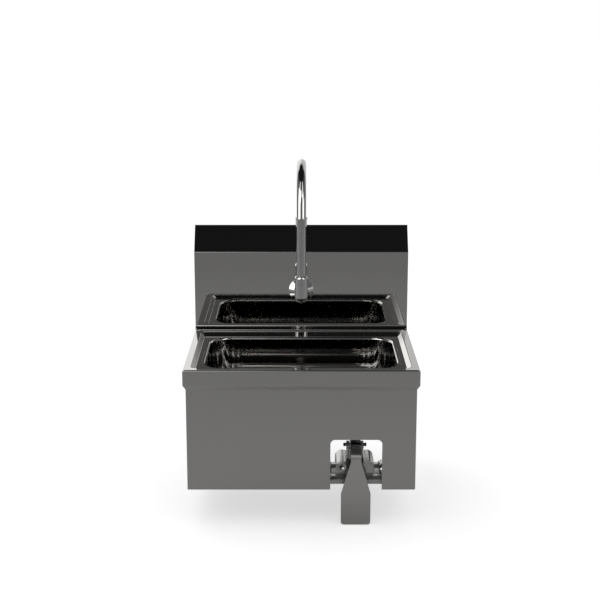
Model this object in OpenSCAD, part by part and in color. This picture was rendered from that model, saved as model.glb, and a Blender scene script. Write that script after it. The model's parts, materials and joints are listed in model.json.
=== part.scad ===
// Wall-hung hand wash sink with a knee-operated mixing valve and a swivel gooseneck.
// X runs along the wall, Y points at the wall and Z up. The wall face is Y = 0, and the
// origin is the middle of the screw line of the wall bracket.

/* [Sheet metal] */
// Thickness of the stainless sheet
sheet_t = 1.2; // [0.9:0.1:2]
// Outside radius of a fold
fold_r = 3; // [2.4:0.1:5]

/* [Rim and deck] */
// Width of the rim, end to end
sink_w = 457.2; // [440:1:520]
// Depth from the wall to the front of the rim
sink_d = 368.3; // [360:1:400]
// Width of the flat strip at the front and sides of the rim
rim_strip = 15; // [10:0.5:18]
// Width of the flat strip in front of the splash
rear_strip = 20; // [14:0.5:24]
// Width of the slope from the rim down to the deck
recess_slope = 9; // [4:0.5:12]
// Drop from the rim to the deck
deck_drop = 6; // [3:0.5:10]
// Plan radius of the corners of the recess
recess_corner_r = 12; // [10:0.5:18]
// Height of the apron band under the rim
apron_h = 31.5; // [20:0.5:45]
// Height of the slanted hem under the apron
hem_h = 9.5; // [6:0.5:14]
// How far the hem slants in
hem_in = 5.3; // [3:0.1:8]

/* [Bowl] */
// Rim side to the bowl's edge
bowl_side = 39.6; // [36:0.1:50]
// Rim front to the bowl's front edge
bowl_front = 34.6; // [32:0.1:40]
// Bowl's rear edge to the cove of the splash
bowl_rear = 51.4; // [40:0.1:70]
// Depth of the bowl below the deck
bowl_depth = 127; // [100:1:140]
// Plan radius of the bowl's corners at the opening
bowl_corner_r = 42; // [40:1:60]
// Radius of the rolled edge between deck and bowl
bowl_lip_r = 5; // [3:0.5:6]
// Radius between wall and floor
bowl_cove_r = 26; // [14:1:27]
// Inward lean of each wall over its height
bowl_draft = 5; // [2:0.5:6]
// Fall of the floor towards the drain
floor_fall = 4; // [2:0.5:6]

/* [Splash] */
// Front face of the splash to the wall
wall_gap = 42.3; // [38:0.1:50]
// Height of the upright face above the rim
splash_h = 166; // [150:1:200]
// Height of the sloped top
splash_top_h = 59; // [44:1:64]
// Radius of the cove between rim and splash
splash_cove_r = 6; // [4:0.5:10]

/* [Skirt] */
// Height of the skirt below the hem
skirt_h = 204; // [190:1:240]
// Middle of the lever opening, right of the sink's middle
cutout_x = 107; // [105:0.1:110]
// Width of the lever opening
cutout_w = 100.8; // [96:0.1:110]
// Height of the lever opening above the skirt's lower edge
cutout_h = 102.7; // [100:0.1:110]
// Radius of the opening's upper corners
cutout_r = 9.5; // [6:0.5:14]
// Width of the flanges that screw to the wall
skirt_flange_w = 24; // [20:0.5:30]

/* [Wall bracket] */
// Screw line above the rim
bracket_above_rim = 185; // [180:1:186]
// Length of the bracket
bracket_l = 355.6; // [330:1:400]
// Thickness of the bracket
bracket_t = 2; // [1.5:0.1:3]
// Distance between the outer screw holes
bracket_outer_pitch = 304.8; // [280:0.1:310]
// Distance between the inner screw holes
bracket_inner_pitch = 101.6; // [90:0.1:120]
// Diameter of the wall screw holes
wall_hole_d = 7; // [5:0.1:8]

/* [Faucet] */
// Faucet inlet above the rim
faucet_h = 83.5; // [75:0.5:95]
// Riser axis in front of the splash
faucet_reach = 65; // [58:0.5:75]
// Diameter of the faucet body
faucet_body_d = 27; // [26:0.1:29]
// Top of the body above the inlet
faucet_shoulder = 30.5; // [30:0.5:36]
// Height of the swivel nut
swivel_nut_h = 14.7; // [13:0.1:18]
// Diameter of the spout tube
spout_d = 19.05; // [18:0.05:19.3]
// Wall of the spout tube
spout_wall = 1.2; // [1:0.1:1.5]
// Riser axis to outlet axis
spout_spread = 139; // [120:1:160]
// Middle of the arch above the rim
arch_h = 302; // [280:1:330]
// Mouth of the aerator above the rim
outlet_h = 257.8; // [240:0.1:266]
// Diameter of the escutcheon
escutcheon_d = 53; // [48:0.5:58]

/* [Drain] */
// Bore of the drain hole in the bowl
drain_hole_d = 46; // [44:0.5:50]
// Diameter of the drain flange
drain_flange_d = 68; // [62:0.5:74]
// Diameter of the tailpiece
tailpiece_d = 38.1; // [36:0.1:39]
// Length of the tailpiece below its nut
tailpiece_l = 58; // [40:1:70]

/* [Valve] */
// Middle of the valve and lever, right of the sink's middle
valve_x = 106.5; // [104:0.1:109]
// Shelf of the valve bracket below the rim
shelf_drop = 230; // [228:0.5:232]
// Lip of the valve bracket behind the skirt's face
shelf_set_back = 12.7; // [8:0.1:14]
// Front of the valve body behind the skirt's face
valve_set_back = 32.7; // [31:0.1:34]
// Radius of each side barrel
barrel_r = 13; // [12.5:0.1:13.4]
// Length of the side barrels
barrel_l = 67; // [62:0.5:72]
// Distance between the barrels' axes
barrel_pitch = 50.6; // [50:0.1:52]
// Radius of the inlet elbows
elbow_r = 12; // [11.5:0.1:12.5]
// Thread radius of the two supply tails
supply_thread_r = 10.48; // [9.5:0.01:10.6]
// Stroke that each plunger has
plunger_stroke = 3.6; // [3:0.1:4]

/* [Knee lever] */
// Thickness of the bent lever plate
lever_t = 3; // [2.5:0.1:3.5]
// Width of the arm and neck
arm_w = 20.4; // [20:0.1:22]
// Width of the knee pad
pad_w = 58; // [50:0.5:64]
// Lever plate in front of the skirt's face
lever_out = 8; // [7:0.1:14]
// Pivot behind the skirt's face
pivot_back = 54.2; // [53:0.1:56]
// Pivot below the rim
pivot_drop = 170.9; // [169:0.1:172]
// Lower end of the pad below the rim
pad_drop = 315; // [300:0.1:320]
// Top of the arm above the pivot
arm_over_pivot = 19; // [17:0.5:24]
// Height of the lean between the plate's front and the arm
lean_h = 23.5; // [18:0.5:28]
// Depth of that lean
lean_d = 15.6; // [10:0.1:20]
// Length of the neck's straight start, below the lean
neck_l = 11.3; // [8:0.1:14]
// Height of the taper from neck to pad
taper_h = 64; // [55:1:76]
// Radius of the pad's lower corners
pad_corner_r = 6; // [4:0.5:12]
// Diameter of the pivot pin
pin_d = 6.35; // [6:0.05:6.5]

/* [Hidden] */
$fn = 48;

// Working overruns and running clearances
over = 1;
seat_gap = 0.3;
running_gap = 0.05;
side_gap = 0.6;
thread_gap = 0.2;

// Steps round a quarter turn of a lofted corner and of a fold
corner_steps = 8;
fold_steps = 5;
mid_share = 0.5;

// Levels and planes that the pieces share
rim_z = -bracket_above_rim;
deck_z = rim_z - deck_drop;
splash_y = -wall_gap;
front_y = -sink_d;
splash_flat = 2;
rear_y = splash_y - splash_cove_r - splash_flat;
hem_z = rim_z - apron_h - hem_h;
skirt_y = front_y + hem_in;
skirt_x = sink_w / 2 - hem_in;
skirt_low_z = hem_z - skirt_h;
fold_top_z = rim_z + splash_h;
splash_top_z = fold_top_z + splash_top_h;

// Bowl opening and floor
bowl_flat = 3;
bowl_seam = bowl_lip_r + bowl_flat;
bowl_x = sink_w / 2 - bowl_side;
bowl_y0 = front_y + bowl_front;
bowl_y1 = rear_y - bowl_rear;
bowl_mid_y = (bowl_y0 + bowl_y1) / 2;
seam_corner_r = bowl_corner_r + bowl_seam;
floor_z = deck_z - bowl_depth;
drain_sink = 2;
drain_seat_z = floor_z - floor_fall - drain_sink;
drain_seat_r = drain_flange_d / 2 + seat_gap;

// Points on an arc about c, from angle a to angle b
function arc(c, r, a, b, steps) = [for (i = [0:steps])
    let (g = a + (b - a) * i / steps) c + r * [cos(g), sin(g)]];

function unit(v) = v / norm(v);

// The points that round the corner p between its neighbours a and b with radius r
function corner(a, p, b, r) =
    let (u = unit(a - p), v = unit(b - p), half = acos(u * v) / 2,
        c = p + unit(u + v) * r / sin(half), s = p + u * r / tan(half) - c,
        e = p + v * r / tan(half) - c, g = atan2(s.y, s.x),
        turn = sign(s.x * e.y - s.y * e.x) * (180 - 2 * half))
    arc(c, r, g, g + turn, fold_steps);

// An open path whose inner corners are rounded, each with its own radius
function rounded(path, radii) = [for (i = [0:len(path) - 1])
    each (i == 0 || i == len(path) - 1) ? [path[i]]
        : corner(path[i - 1], path[i], path[i + 1], radii[i - 1])];

function left(a, b) = let (d = unit(b - a)) [-d.y, d.x];

// The path moved sideways by t, to its left when t is positive
function shifted(path, t) = let (n = len(path)) [for (i = [0:n - 1])
    let (p = left(path[max(i - 1, 0)], path[max(i, 1)]),
        q = left(path[min(i, n - 2)], path[min(i + 1, n - 1)]))
    path[i] + t * (p + q) / (1 + p * q)];

function turned(path) = [for (i = [len(path) - 1:-1:0]) path[i]];

// Section of a folded sheet whose face follows the path, t thick to the path's left
module sheet(path, t) {
    polygon(concat(path, turned(shifted(path, t))));
}

// A profile in Y and Z carried along X, from x to x + w
module along_x(x, w) {
    translate([x, 0, 0]) rotate([90, 0, 90]) linear_extrude(w) children();
}

// A profile in X and Z carried along Y, from y to y + l
module along_y(y, l) {
    translate([0, y + l, 0]) rotate([90, 0, 0]) linear_extrude(l) children();
}

// Rods and rings with their axis along Y or X, starting at the given point
module rod_y(p, r, l) {
    translate([p.x, p.y + l, p.z]) rotate([90, 0, 0]) cylinder(r = r, h = l);
}

module rod_x(p, r, l) {
    translate(p) rotate([0, 90, 0]) cylinder(r = r, h = l);
}

module rod_z(p, r, l) {
    translate(p) cylinder(r = r, h = l);
}

module hex_x(p, r, l) {
    translate(p) rotate([0, 90, 0]) cylinder(r = r, h = l, $fn = 6);
}

module hex_y(p, r, l) {
    translate([p.x, p.y + l, p.z]) rotate([90, 0, 0]) cylinder(r = r, h = l, $fn = 6);
}

module hex_z(p, r, l) {
    translate(p) cylinder(r = r, h = l, $fn = 6);
}

// A loop of points round a rectangle with rounded corners, at height z
function loop(x0, x1, y0, y1, r, z) = [for (k = [0:3], i = [0:corner_steps - 1])
    let (g = 90 * k + 90 * (i + mid_share) / corner_steps,
        cx = (k == 0 || k == 3) ? x1 - r : x0 + r,
        cy = (k < 2) ? y1 - r : y0 + r)
    [cx + r * cos(g), cy + r * sin(g), z]];

// A closed skin through the loops, the last of which joins the first again
module loft(loops) {
    m = len(loops);
    n = len(loops[0]);
    polyhedron(points = [for (l = loops) each l],
        faces = [for (j = [0:m - 1], i = [0:n - 1])
            let (a = j * n + i, b = j * n + (i + 1) % n,
                c = ((j + 1) % m) * n + i, d = ((j + 1) % m) * n + (i + 1) % n)
            each [[a, c, d], [a, d, b]]], convexity = 6);
}

// Deck: recessed deck, rim, apron and hem, pressed and folded from one sheet

// Half section from the hem up and inwards: distance in from the edge, and height
deck_path = rounded([
    [hem_in, hem_z],
    [0, rim_z - apron_h],
    [0, rim_z],
    [rim_strip, rim_z],
    [rim_strip + recess_slope, deck_z],
    [bowl_front - bowl_seam, deck_z]],
    [fold_r, fold_r, fold_r, fold_r]);

// At the back the strip is wider and its outer edge is cut square against the splash
function rear_in(s, skin) = max(skin, (s - fold_r)
    * (rear_strip - splash_y + rear_y) / (rim_strip - fold_r));

function deck_loop(p, skin, at_bowl) = let (
    x = sink_w / 2 - (at_bowl ? bowl_side - bowl_seam : p.x),
    r = at_bowl ? seam_corner_r : max(fold_r, recess_corner_r - abs(p.x - rim_strip)))
    loop(-x, x, at_bowl ? bowl_y0 - bowl_seam : front_y + p.x,
        at_bowl ? bowl_y1 + bowl_seam : rear_y - rear_in(p.x, skin), r, p.y);

function deck_loops(path, skin) = [for (i = [0:len(path) - 1])
    deck_loop(path[i], skin, i == len(path) - 1)];

module deck() {
    color("silver") loft(concat(deck_loops(deck_path, 0),
        turned(deck_loops(shifted(deck_path, -sheet_t), sheet_t))));
}

// Bowl: drawn bowl with a rolled edge, coved floor and a seat for the drain

// Section from the seam inwards: distance in, and height below the deck
bowl_floor_in = bowl_seam + bowl_draft + bowl_cove_r + bowl_flat;
bowl_path = rounded([
    [0, 0],
    [bowl_seam, 0],
    [bowl_seam + bowl_draft, -bowl_depth],
    [bowl_floor_in, -bowl_depth]],
    [bowl_lip_r, bowl_cove_r]);

function bowl_loop(p) = loop(-bowl_x - bowl_seam + p.x, bowl_x + bowl_seam - p.x,
    bowl_y0 - bowl_seam + p.x, bowl_y1 + bowl_seam - p.x, seam_corner_r - p.x, deck_z + p.y);

function drain_loop(r, z) = loop(-r, r, bowl_mid_y - r, bowl_mid_y + r, r, z);

function bowl_skin(path, t) = concat([for (p = path) bowl_loop(p)],
    [drain_loop(drain_seat_r + drain_sink, floor_z - floor_fall - t),
        drain_loop(drain_seat_r, drain_seat_z - t),
        drain_loop(drain_hole_d / 2, drain_seat_z - t)]);

module bowl() {
    color("gainsboro") loft(concat(bowl_skin(bowl_path, 0),
        turned(bowl_skin(shifted(bowl_path, -sheet_t), sheet_t))));
}

// Splash: cove, upright face, sloped top and the lip that hooks on the wall bracket

hook_gap = 0.4;
bracket_low = 18;
bracket_jog = 10;
bracket_hook = 12;
pocket = sheet_t + 2 * hook_gap;
shank_hole_r = 12;
splash_face = rounded([
    [rear_y, rim_z],
    [splash_y, rim_z],
    [splash_y, fold_top_z],
    [-hook_gap, splash_top_z],
    [-hook_gap, bracket_jog]],
    [splash_cove_r, fold_r, fold_r]);
faucet_z = rim_z + faucet_h;

module splash() {
    color("silver") difference() {
        along_x(-sink_w / 2 + sheet_t, sink_w - 2 * sheet_t) sheet(splash_face, -sheet_t);
        rod_y([0, splash_y - over, faucet_z], shank_hole_r, sheet_t + 2 * over);
    }
}

// Closes one end of the splash, down to the hem of the deck
module splash_end() {
    intersection() {
        along_y(rear_y, -rear_y) sheet([[-skirt_x, hem_z], [-sink_w / 2, rim_z - apron_h],
            [-sink_w / 2, splash_top_z]], -sheet_t);
        along_x(-sink_w / 2 - over, sink_w / 2) polygon(concat(splash_face,
            [[-hook_gap, hem_z], [rear_y, hem_z]]));
    }
}

module splash_end_left() {
    color("silver") splash_end();
}

module splash_end_right() {
    color("silver") mirror([1, 0, 0]) splash_end();
}

// Skirt: front and sides in one folded sheet, with flanges that screw to the wall

flange_hole_z = (hem_z + skirt_low_z) / 2;
flange_pitch = 2 * skirt_x - skirt_flange_w;
skirt_plan = rounded([
    [-skirt_x + skirt_flange_w, 0],
    [-skirt_x, 0],
    [-skirt_x, skirt_y],
    [skirt_x, skirt_y],
    [skirt_x, 0],
    [skirt_x - skirt_flange_w, 0]],
    [fold_r, fold_r, fold_r, fold_r]);

// Opening for the lever: square below, with two rounded corners above
module cutout() {
    top = skirt_low_z + cutout_h;
    x0 = cutout_x - cutout_w / 2;
    along_y(skirt_y - over, sheet_t + 2 * over) polygon(concat(
        [[x0, skirt_low_z - over], [x0 + cutout_w, skirt_low_z - over]],
        arc([x0 + cutout_w - cutout_r, top - cutout_r], cutout_r, 0, 90, corner_steps),
        arc([x0 + cutout_r, top - cutout_r], cutout_r, 90, 180, corner_steps)));
}

module skirt() {
    color("gray") difference() {
        translate([0, 0, skirt_low_z]) linear_extrude(skirt_h) sheet(skirt_plan, sheet_t);
        cutout();
        for (side = [-1, 1]) rod_y([side * flange_pitch / 2, -sheet_t - over, flange_hole_z],
            wall_hole_d / 2, sheet_t + 2 * over);
    }
}

// Wall bracket: a folded rail whose hook carries the lip of the splash

module wall_bracket() {
    color("darkgray") difference() {
        along_x(-bracket_l / 2, bracket_l) sheet([[0, -bracket_low], [0, bracket_jog],
            [-pocket, bracket_jog], [-pocket, bracket_jog + bracket_hook]], bracket_t);
        for (pitch = [bracket_outer_pitch, bracket_inner_pitch], side = [-1, 1])
            rod_y([side * pitch / 2, -bracket_t - over, 0], wall_hole_d / 2,
                bracket_t + 2 * over);
    }
}

// Valve bracket: a shelf with two arms that are welded behind the skirt

shelf_t = 2;
shelf_lip = 8.3;
shelf_l = 100;
arm_tab_w = 22;
arm_tab_h = 20;
arm_clear = 4;
shelf_z = rim_z - shelf_drop;
shelf_y = skirt_y + shelf_set_back;
shelf_w = cutout_w + 2 * (arm_clear + arm_tab_w);
shelf_x = cutout_x - shelf_w / 2;
foot_w = 44;
foot_l = 36;
foot_h = 6;
valve_y = skirt_y + valve_set_back;
foot_y = valve_y + (barrel_l - foot_l) / 2;
foot_pitch = 30;
foot_screw_r = 2.5;

module foot_holes(r, z, h) {
    for (side = [-1, 1])
        rod_z([valve_x + side * foot_pitch / 2, foot_y + foot_l / 2, z], r, h);
}

module valve_bracket() {
    color("gray") difference() {
        union() {
            along_x(shelf_x, shelf_w) sheet([[shelf_y, shelf_z - shelf_lip],
                [shelf_y, shelf_z], [shelf_y + shelf_l, shelf_z],
                [shelf_y + shelf_l, shelf_z - shelf_lip]], -shelf_t);
            for (x = [shelf_x, shelf_x + shelf_w - arm_tab_w]) along_x(x, arm_tab_w)
                sheet([[skirt_y + sheet_t, shelf_z + arm_tab_h - shelf_t],
                    [skirt_y + sheet_t, shelf_z - shelf_t],
                    [shelf_y + shelf_t, shelf_z - shelf_t]], shelf_t);
        }
        foot_holes(foot_screw_r + thread_gap, shelf_z - shelf_t - over, shelf_t + 2 * over);
    }
}

// Faucet: escutcheon, elbow body, threaded shank through the splash, and its fixings

body_r = faucet_body_d / 2;
riser_y = splash_y - faucet_reach;
body_top_z = faucet_z + faucet_shoulder;
nut_top_z = body_top_z + swivel_nut_h;
spout_r = spout_d / 2;
escutcheon_h = 9;
escutcheon_rim = 2;
neck_r = 11;
shank_r = 10.4;
shank_bore_r = 6.5;
shank_in = 12;
shank_out = 16.5;
washer_t = 1.5;
washer_r = 17;
locknut_r = 18;
locknut_l = 7;
nut_dome_h = 7;
collar_r = 11.4;
collar_h = 3;
glide_t = 2;
ring_r = 1.2;
socket_depth = 16;
socket_z = body_top_z - socket_depth;
collar_z = body_top_z + seat_gap;

module escutcheon() {
    color("silver") translate([0, splash_y, faucet_z]) rotate([90, 0, 0]) rotate_extrude()
        polygon([[neck_r + thread_gap, 0], [escutcheon_d / 2, 0],
            [escutcheon_d / 2, escutcheon_rim], [body_r, escutcheon_h],
            [neck_r + thread_gap, escutcheon_h]]);
}

module faucet_body() {
    color("silver") difference() {
        union() {
            translate([0, riser_y, faucet_z]) sphere(r = body_r);
            rod_z([0, riser_y, faucet_z], body_r, faucet_shoulder - collar_h);
            rod_z([0, riser_y, faucet_z], neck_r + glide_t / 2, faucet_shoulder);
            rod_y([0, riser_y, faucet_z], neck_r, faucet_reach - escutcheon_rim);
        }
        rod_z([0, riser_y, socket_z], spout_r + running_gap, socket_depth + over);
        rod_z([0, riser_y, socket_z + glide_t], spout_r + 2 * ring_r, 2 * ring_r);
        rod_z([0, riser_y, faucet_z], shank_bore_r, socket_z - faucet_z + over);
        rod_y([0, riser_y, faucet_z], shank_bore_r, faucet_reach);
        rod_y([0, splash_y - shank_in, faucet_z], shank_r + thread_gap, shank_in);
    }
}

module faucet_shank() {
    color("goldenrod") difference() {
        rod_y([0, splash_y - shank_in, faucet_z], shank_r, shank_in + shank_out);
        rod_y([0, splash_y - shank_in - over, faucet_z], shank_bore_r,
            shank_in + shank_out + 2 * over);
    }
}

module shank_washer() {
    color("dimgray") difference() {
        rod_y([0, splash_y + sheet_t, faucet_z], washer_r, washer_t);
        rod_y([0, splash_y, faucet_z], shank_r + thread_gap, 2 * over + washer_t);
    }
}

module shank_locknut() {
    color("goldenrod") difference() {
        hex_y([0, splash_y + sheet_t + washer_t, faucet_z], locknut_r, locknut_l);
        rod_y([0, splash_y, faucet_z], shank_r + thread_gap, locknut_l + washer_t + 2 * over);
    }
}

// The nut screws over the body's neck and its inner shoulder keeps the spout's collar down
module swivel_nut() {
    color("silver") translate([0, riser_y, body_top_z - collar_h]) difference() {
        rotate_extrude() polygon(concat([[0, 0], [body_r, 0]],
            [for (a = [0:15:90]) [spout_r + ring_r + (body_r - spout_r - ring_r) * cos(a),
                swivel_nut_h + collar_h - nut_dome_h + nut_dome_h * sin(a)]],
            [[0, swivel_nut_h + collar_h]]));
        rod_z([0, 0, -over], neck_r + glide_t / 2 + thread_gap, collar_h + over);
        rod_z([0, 0, 0], collar_r + seat_gap, 2 * collar_h + glide_t + 3 * seat_gap);
        rod_z([0, 0, 0], spout_r + running_gap, swivel_nut_h + collar_h + over);
    }
}

module spout_glide_ring() {
    color("white") translate([0, riser_y, collar_z + collar_h + seat_gap]) difference() {
        cylinder(r = collar_r, h = glide_t);
        rod_z([0, 0, -over], spout_r + seat_gap, glide_t + 2 * over);
    }
}

module spout_o_ring() {
    color("black") translate([0, riser_y, socket_z + glide_t + ring_r]) rotate_extrude()
        translate([spout_r + ring_r + seat_gap / 2, 0])
            circle(r = ring_r - seat_gap / 2 - running_gap);
}

// Gooseneck: straight riser, half-round arch and a short drop to the aerator

arch_z = rim_z + arch_h;
mouth_z = rim_z + outlet_h;
spout_y = riser_y - spout_spread;
aerator_h = 17.5;
aerator_r = 10.8;
aerator_lip_r = 12;
aerator_lip_h = 2.4;
aerator_step = 0.7;
drop_z = mouth_z + aerator_h - aerator_lip_h;

module tube_section(r, wall) {
    difference() {
        circle(r = r);
        circle(r = r - wall);
    }
}

module gooseneck() {
    color("silver") {
        translate([0, riser_y, socket_z + seat_gap]) linear_extrude(arch_z - socket_z - seat_gap)
            tube_section(spout_r, spout_wall);
        translate([0, riser_y, collar_z]) rotate_extrude()
            translate([spout_r - spout_wall, 0]) square([collar_r - spout_r + spout_wall, collar_h]);
        translate([0, (riser_y + spout_y) / 2, arch_z]) rotate([90, 0, 90])
            rotate_extrude(angle = 180) translate([spout_spread / 2, 0])
                tube_section(spout_r, spout_wall);
        translate([0, spout_y, drop_z]) linear_extrude(arch_z - drop_z)
            tube_section(spout_r, spout_wall);
    }
}

module aerator_housing() {
    color("silver") translate([0, spout_y, mouth_z]) difference() {
        rotate_extrude() polygon([[0, 0], [aerator_r, 0],
            [aerator_lip_r - aerator_step, aerator_h - aerator_lip_h],
            [aerator_lip_r, aerator_h - aerator_lip_h], [aerator_lip_r, aerator_h],
            [0, aerator_h]]);
        rod_z([0, 0, -over], aerator_r - ring_r, aerator_h - aerator_lip_h + over);
        rod_z([0, 0, 0], spout_r + thread_gap / 2, aerator_h + over);
    }
}

// Fine outlet disc with rings of holes
module aerator_insert() {
    hole_r = 0.8;
    disc_t = 5;
    color("lightgray") translate([0, spout_y, mouth_z + glide_t / 2]) difference() {
        cylinder(r = aerator_r - ring_r - thread_gap / 2, h = disc_t);
        rod_z([0, 0, disc_t / 2], spout_r - spout_wall - hole_r, disc_t);
        for (ring = [1:3], i = [0:6 * ring - 1])
            rotate(60 * i / ring) rod_z([ring * (hole_r + ring_r), 0, -over],
                hole_r, disc_t + 2 * over);
    }
}

// Supply side of the faucet: an elbow behind the splash and the tube from the valve

tube_r = 4.76;
tube_wall = 0.9;
tube_bend = 20;
elbow_body_r = 11;
elbow_y = splash_y + shank_out + elbow_body_r;
nut_r = 9;
nut_l = 12;
tube_y = elbow_y;
tube_rise = 76;
tube_z = shelf_z + tube_rise;
port_in = 14;
port_h = 42;
outlet_y = valve_y + barrel_l - port_in;
outlet_top_z = shelf_z + port_h;
elbow_reach = 14;

module shank_elbow() {
    color("goldenrod") difference() {
        union() {
            translate([0, elbow_y, faucet_z]) sphere(r = elbow_body_r);
            rod_x([0, elbow_y, faucet_z], nut_r - glide_t, elbow_reach);
        }
        rod_y([0, splash_y + shank_out - over, faucet_z], shank_bore_r, elbow_body_r + over);
        rod_x([0, elbow_y, faucet_z], tube_r + thread_gap / 2, elbow_reach + over);
    }
}

// A quarter bend whose tube runs round the origin's Z axis
module quarter() {
    rotate_extrude(angle = 90) translate([tube_bend, 0]) tube_section(tube_r, tube_wall);
}

module mixed_water_tube() {
    x1 = valve_x - tube_bend;
    z1 = faucet_z - tube_bend;
    z2 = tube_z + tube_bend;
    y2 = tube_y - tube_bend;
    y3 = outlet_y + tube_bend;
    color("peru") {
        translate([elbow_body_r, tube_y, faucet_z]) rotate([90, 0, 90])
            linear_extrude(x1 - elbow_body_r) tube_section(tube_r, tube_wall);
        translate([x1, tube_y, z1]) rotate([90, 0, 0]) quarter();
        translate([valve_x, tube_y, z2]) linear_extrude(z1 - z2) tube_section(tube_r, tube_wall);
        translate([valve_x, y2, z2]) rotate([90, 0, 90]) mirror([0, 1, 0]) quarter();
        translate([valve_x, y2, tube_z]) rotate([90, 0, 0]) linear_extrude(y2 - y3)
            tube_section(tube_r, tube_wall);
        translate([valve_x, y3, tube_z - tube_bend]) rotate([90, 0, 90]) mirror([1, 0, 0])
            quarter();
        translate([valve_x, outlet_y, outlet_top_z + thread_gap])
            linear_extrude(tube_z - tube_bend - outlet_top_z - thread_gap)
            tube_section(tube_r, tube_wall);
    }
}

module tube_nuts() {
    color("goldenrod") difference() {
        union() {
            hex_x([elbow_reach + thread_gap, elbow_y, faucet_z], nut_r, nut_l);
            hex_z([valve_x, outlet_y, outlet_top_z], nut_r, nut_l);
        }
        rod_x([0, elbow_y, faucet_z], tube_r + thread_gap / 2, elbow_reach + 2 * nut_l);
        rod_z([valve_x, outlet_y, outlet_top_z - over], tube_r + thread_gap / 2, 2 * nut_l);
    }
}

// Drain: flange and strainer in the bowl, nut and seals below it, and the tailpiece

drain_body_r = drain_hole_d / 2 - side_gap;
drain_bore_r = 17.5;
drain_body_l = 38;
drain_rim_t = 1.6;
drain_dish = 5;
strainer_t = 1.2;
strainer_z = drain_seat_z + drain_rim_t - drain_dish;
gasket_t = 3;
fibre_t = 1.5;
drain_nut_l = 9;
drain_nut_r = 33;
under_z = drain_seat_z - sheet_t;
body_end_z = drain_seat_z - drain_body_l;
tail_r = tailpiece_d / 2;
tail_wall = 1.3;
tail_lip_t = 1.6;
tail_groove_h = 3;
tail_groove = 0.5;
tail_nut_l = 14;
tail_nut_r = 28;

module at_drain(z) {
    translate([0, bowl_mid_y, z]) children();
}

module drain_flange() {
    color("silver") at_drain(0) rotate_extrude() polygon([
        [drain_bore_r, body_end_z],
        [drain_body_r, body_end_z],
        [drain_body_r, drain_seat_z],
        [drain_flange_d / 2, drain_seat_z],
        [drain_flange_d / 2, drain_seat_z + drain_rim_t / 2],
        [drain_flange_d / 2 - drain_rim_t, drain_seat_z + drain_rim_t],
        [drain_body_r, drain_seat_z + drain_rim_t],
        [drain_body_r - drain_rim_t, drain_seat_z + drain_rim_t / 2],
        [drain_body_r - drain_rim_t, strainer_z],
        [drain_bore_r, strainer_z]]);
}

// Flat strainer with three rings of holes, resting on the ledge inside the flange
module strainer() {
    hole_r = 2.2;
    color("lightgray") at_drain(strainer_z) difference() {
        cylinder(r = drain_body_r - drain_rim_t - seat_gap, h = strainer_t);
        for (ring = [0:3], i = [0:max(6 * ring - 1, 0)])
            rotate(ring == 0 ? 0 : 60 * i / ring)
                rod_z([ring * (2 * hole_r + ring_r), 0, -over], hole_r, strainer_t + 2 * over);
    }
}

// A flat ring between two radii, lying on the given height
module flat_ring(z, inner, outer, h) {
    at_drain(z) difference() {
        cylinder(r = outer, h = h);
        rod_z([0, 0, -over], inner, h + 2 * over);
    }
}

module drain_gasket() {
    color("black") flat_ring(under_z - gasket_t, drain_body_r + thread_gap,
        drain_nut_r - gasket_t, gasket_t);
}

module drain_washer() {
    color("tan") flat_ring(under_z - gasket_t - fibre_t, drain_body_r + thread_gap,
        drain_nut_r - gasket_t, fibre_t);
}

module drain_locknut() {
    color("goldenrod") at_drain(under_z - gasket_t - fibre_t - drain_nut_l) difference() {
        cylinder(r = drain_nut_r, h = drain_nut_l, $fn = 8);
        rod_z([0, 0, -over], drain_body_r + thread_gap, drain_nut_l + 2 * over);
    }
}

module tailpiece_washer() {
    color("dimgray") flat_ring(body_end_z - fibre_t, drain_bore_r, drain_body_r, fibre_t);
}

module tailpiece() {
    top = body_end_z - fibre_t;
    low = top - tail_lip_t - tailpiece_l;
    color("silver") at_drain(0) rotate_extrude() polygon([
        [tail_r - tail_wall, low],
        [tail_r, low],
        [tail_r, top - tail_lip_t - tail_groove_h],
        [tail_r - tail_groove, top - tail_lip_t - tail_groove_h],
        [tail_r - tail_groove, top - tail_lip_t],
        [drain_body_r, top - tail_lip_t],
        [drain_body_r, top],
        [tail_r - tail_wall, top]]);
}

module tailpiece_nut() {
    shoulder_z = body_end_z - fibre_t - tail_lip_t;
    color("silver") difference() {
        at_drain(shoulder_z - tail_lip_t) cylinder(r = tail_nut_r, h = tail_nut_l, $fn = 8);
        at_drain(shoulder_z) cylinder(r = drain_body_r + thread_gap, h = tail_nut_l);
        at_drain(shoulder_z - tail_lip_t - over) cylinder(r = tail_r + thread_gap, h = tail_nut_l);
    }
}

// Valve: two barrels side by side, joined by a block that holds the two plungers

lobe_z = shelf_z + foot_h + barrel_r;
lobe_x = barrel_pitch / 2;
half_w = lobe_x + barrel_r;
lobe_chamfer_share = 0.6;
block_drop = 1.2;
block_top_z = lobe_z + barrel_r - block_drop;
block_back = 2;
cap_bore_r = 7.6;
cap_bore_l = 12;
cap_r = 10.6;
cap_t = 2;
socket_r = 3.9;
inlet_back = 8.5;
inlet_y = valve_y + inlet_back;
inlet_z = shelf_z + elbow_r + seat_gap;
boss_r = 7.5;
boss_l = 5;
outlet_boss_r = 8;
striker_r = 4;
eye_r = 4.9;
pivot_y = skirt_y + pivot_back;
pivot_z = rim_z - pivot_drop;
arm_z = pivot_z + arm_over_pivot;
striker_back = 13.5;
plunger_y = pivot_y - striker_back;
plunger_pitch = 21;
plunger_r = 2.3;
plunger_cap_r = 4.4;
plunger_cap_t = 3;
striker_z = pivot_z + eye_r - striker_r;
plunger_top_z = striker_z - striker_r - seat_gap;
plunger_l = 31;
plunger_bore_r = 4;
bonnet_r = 6.6;
bonnet_h = 6;
bonnet_top_z = block_top_z + bonnet_h;

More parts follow.
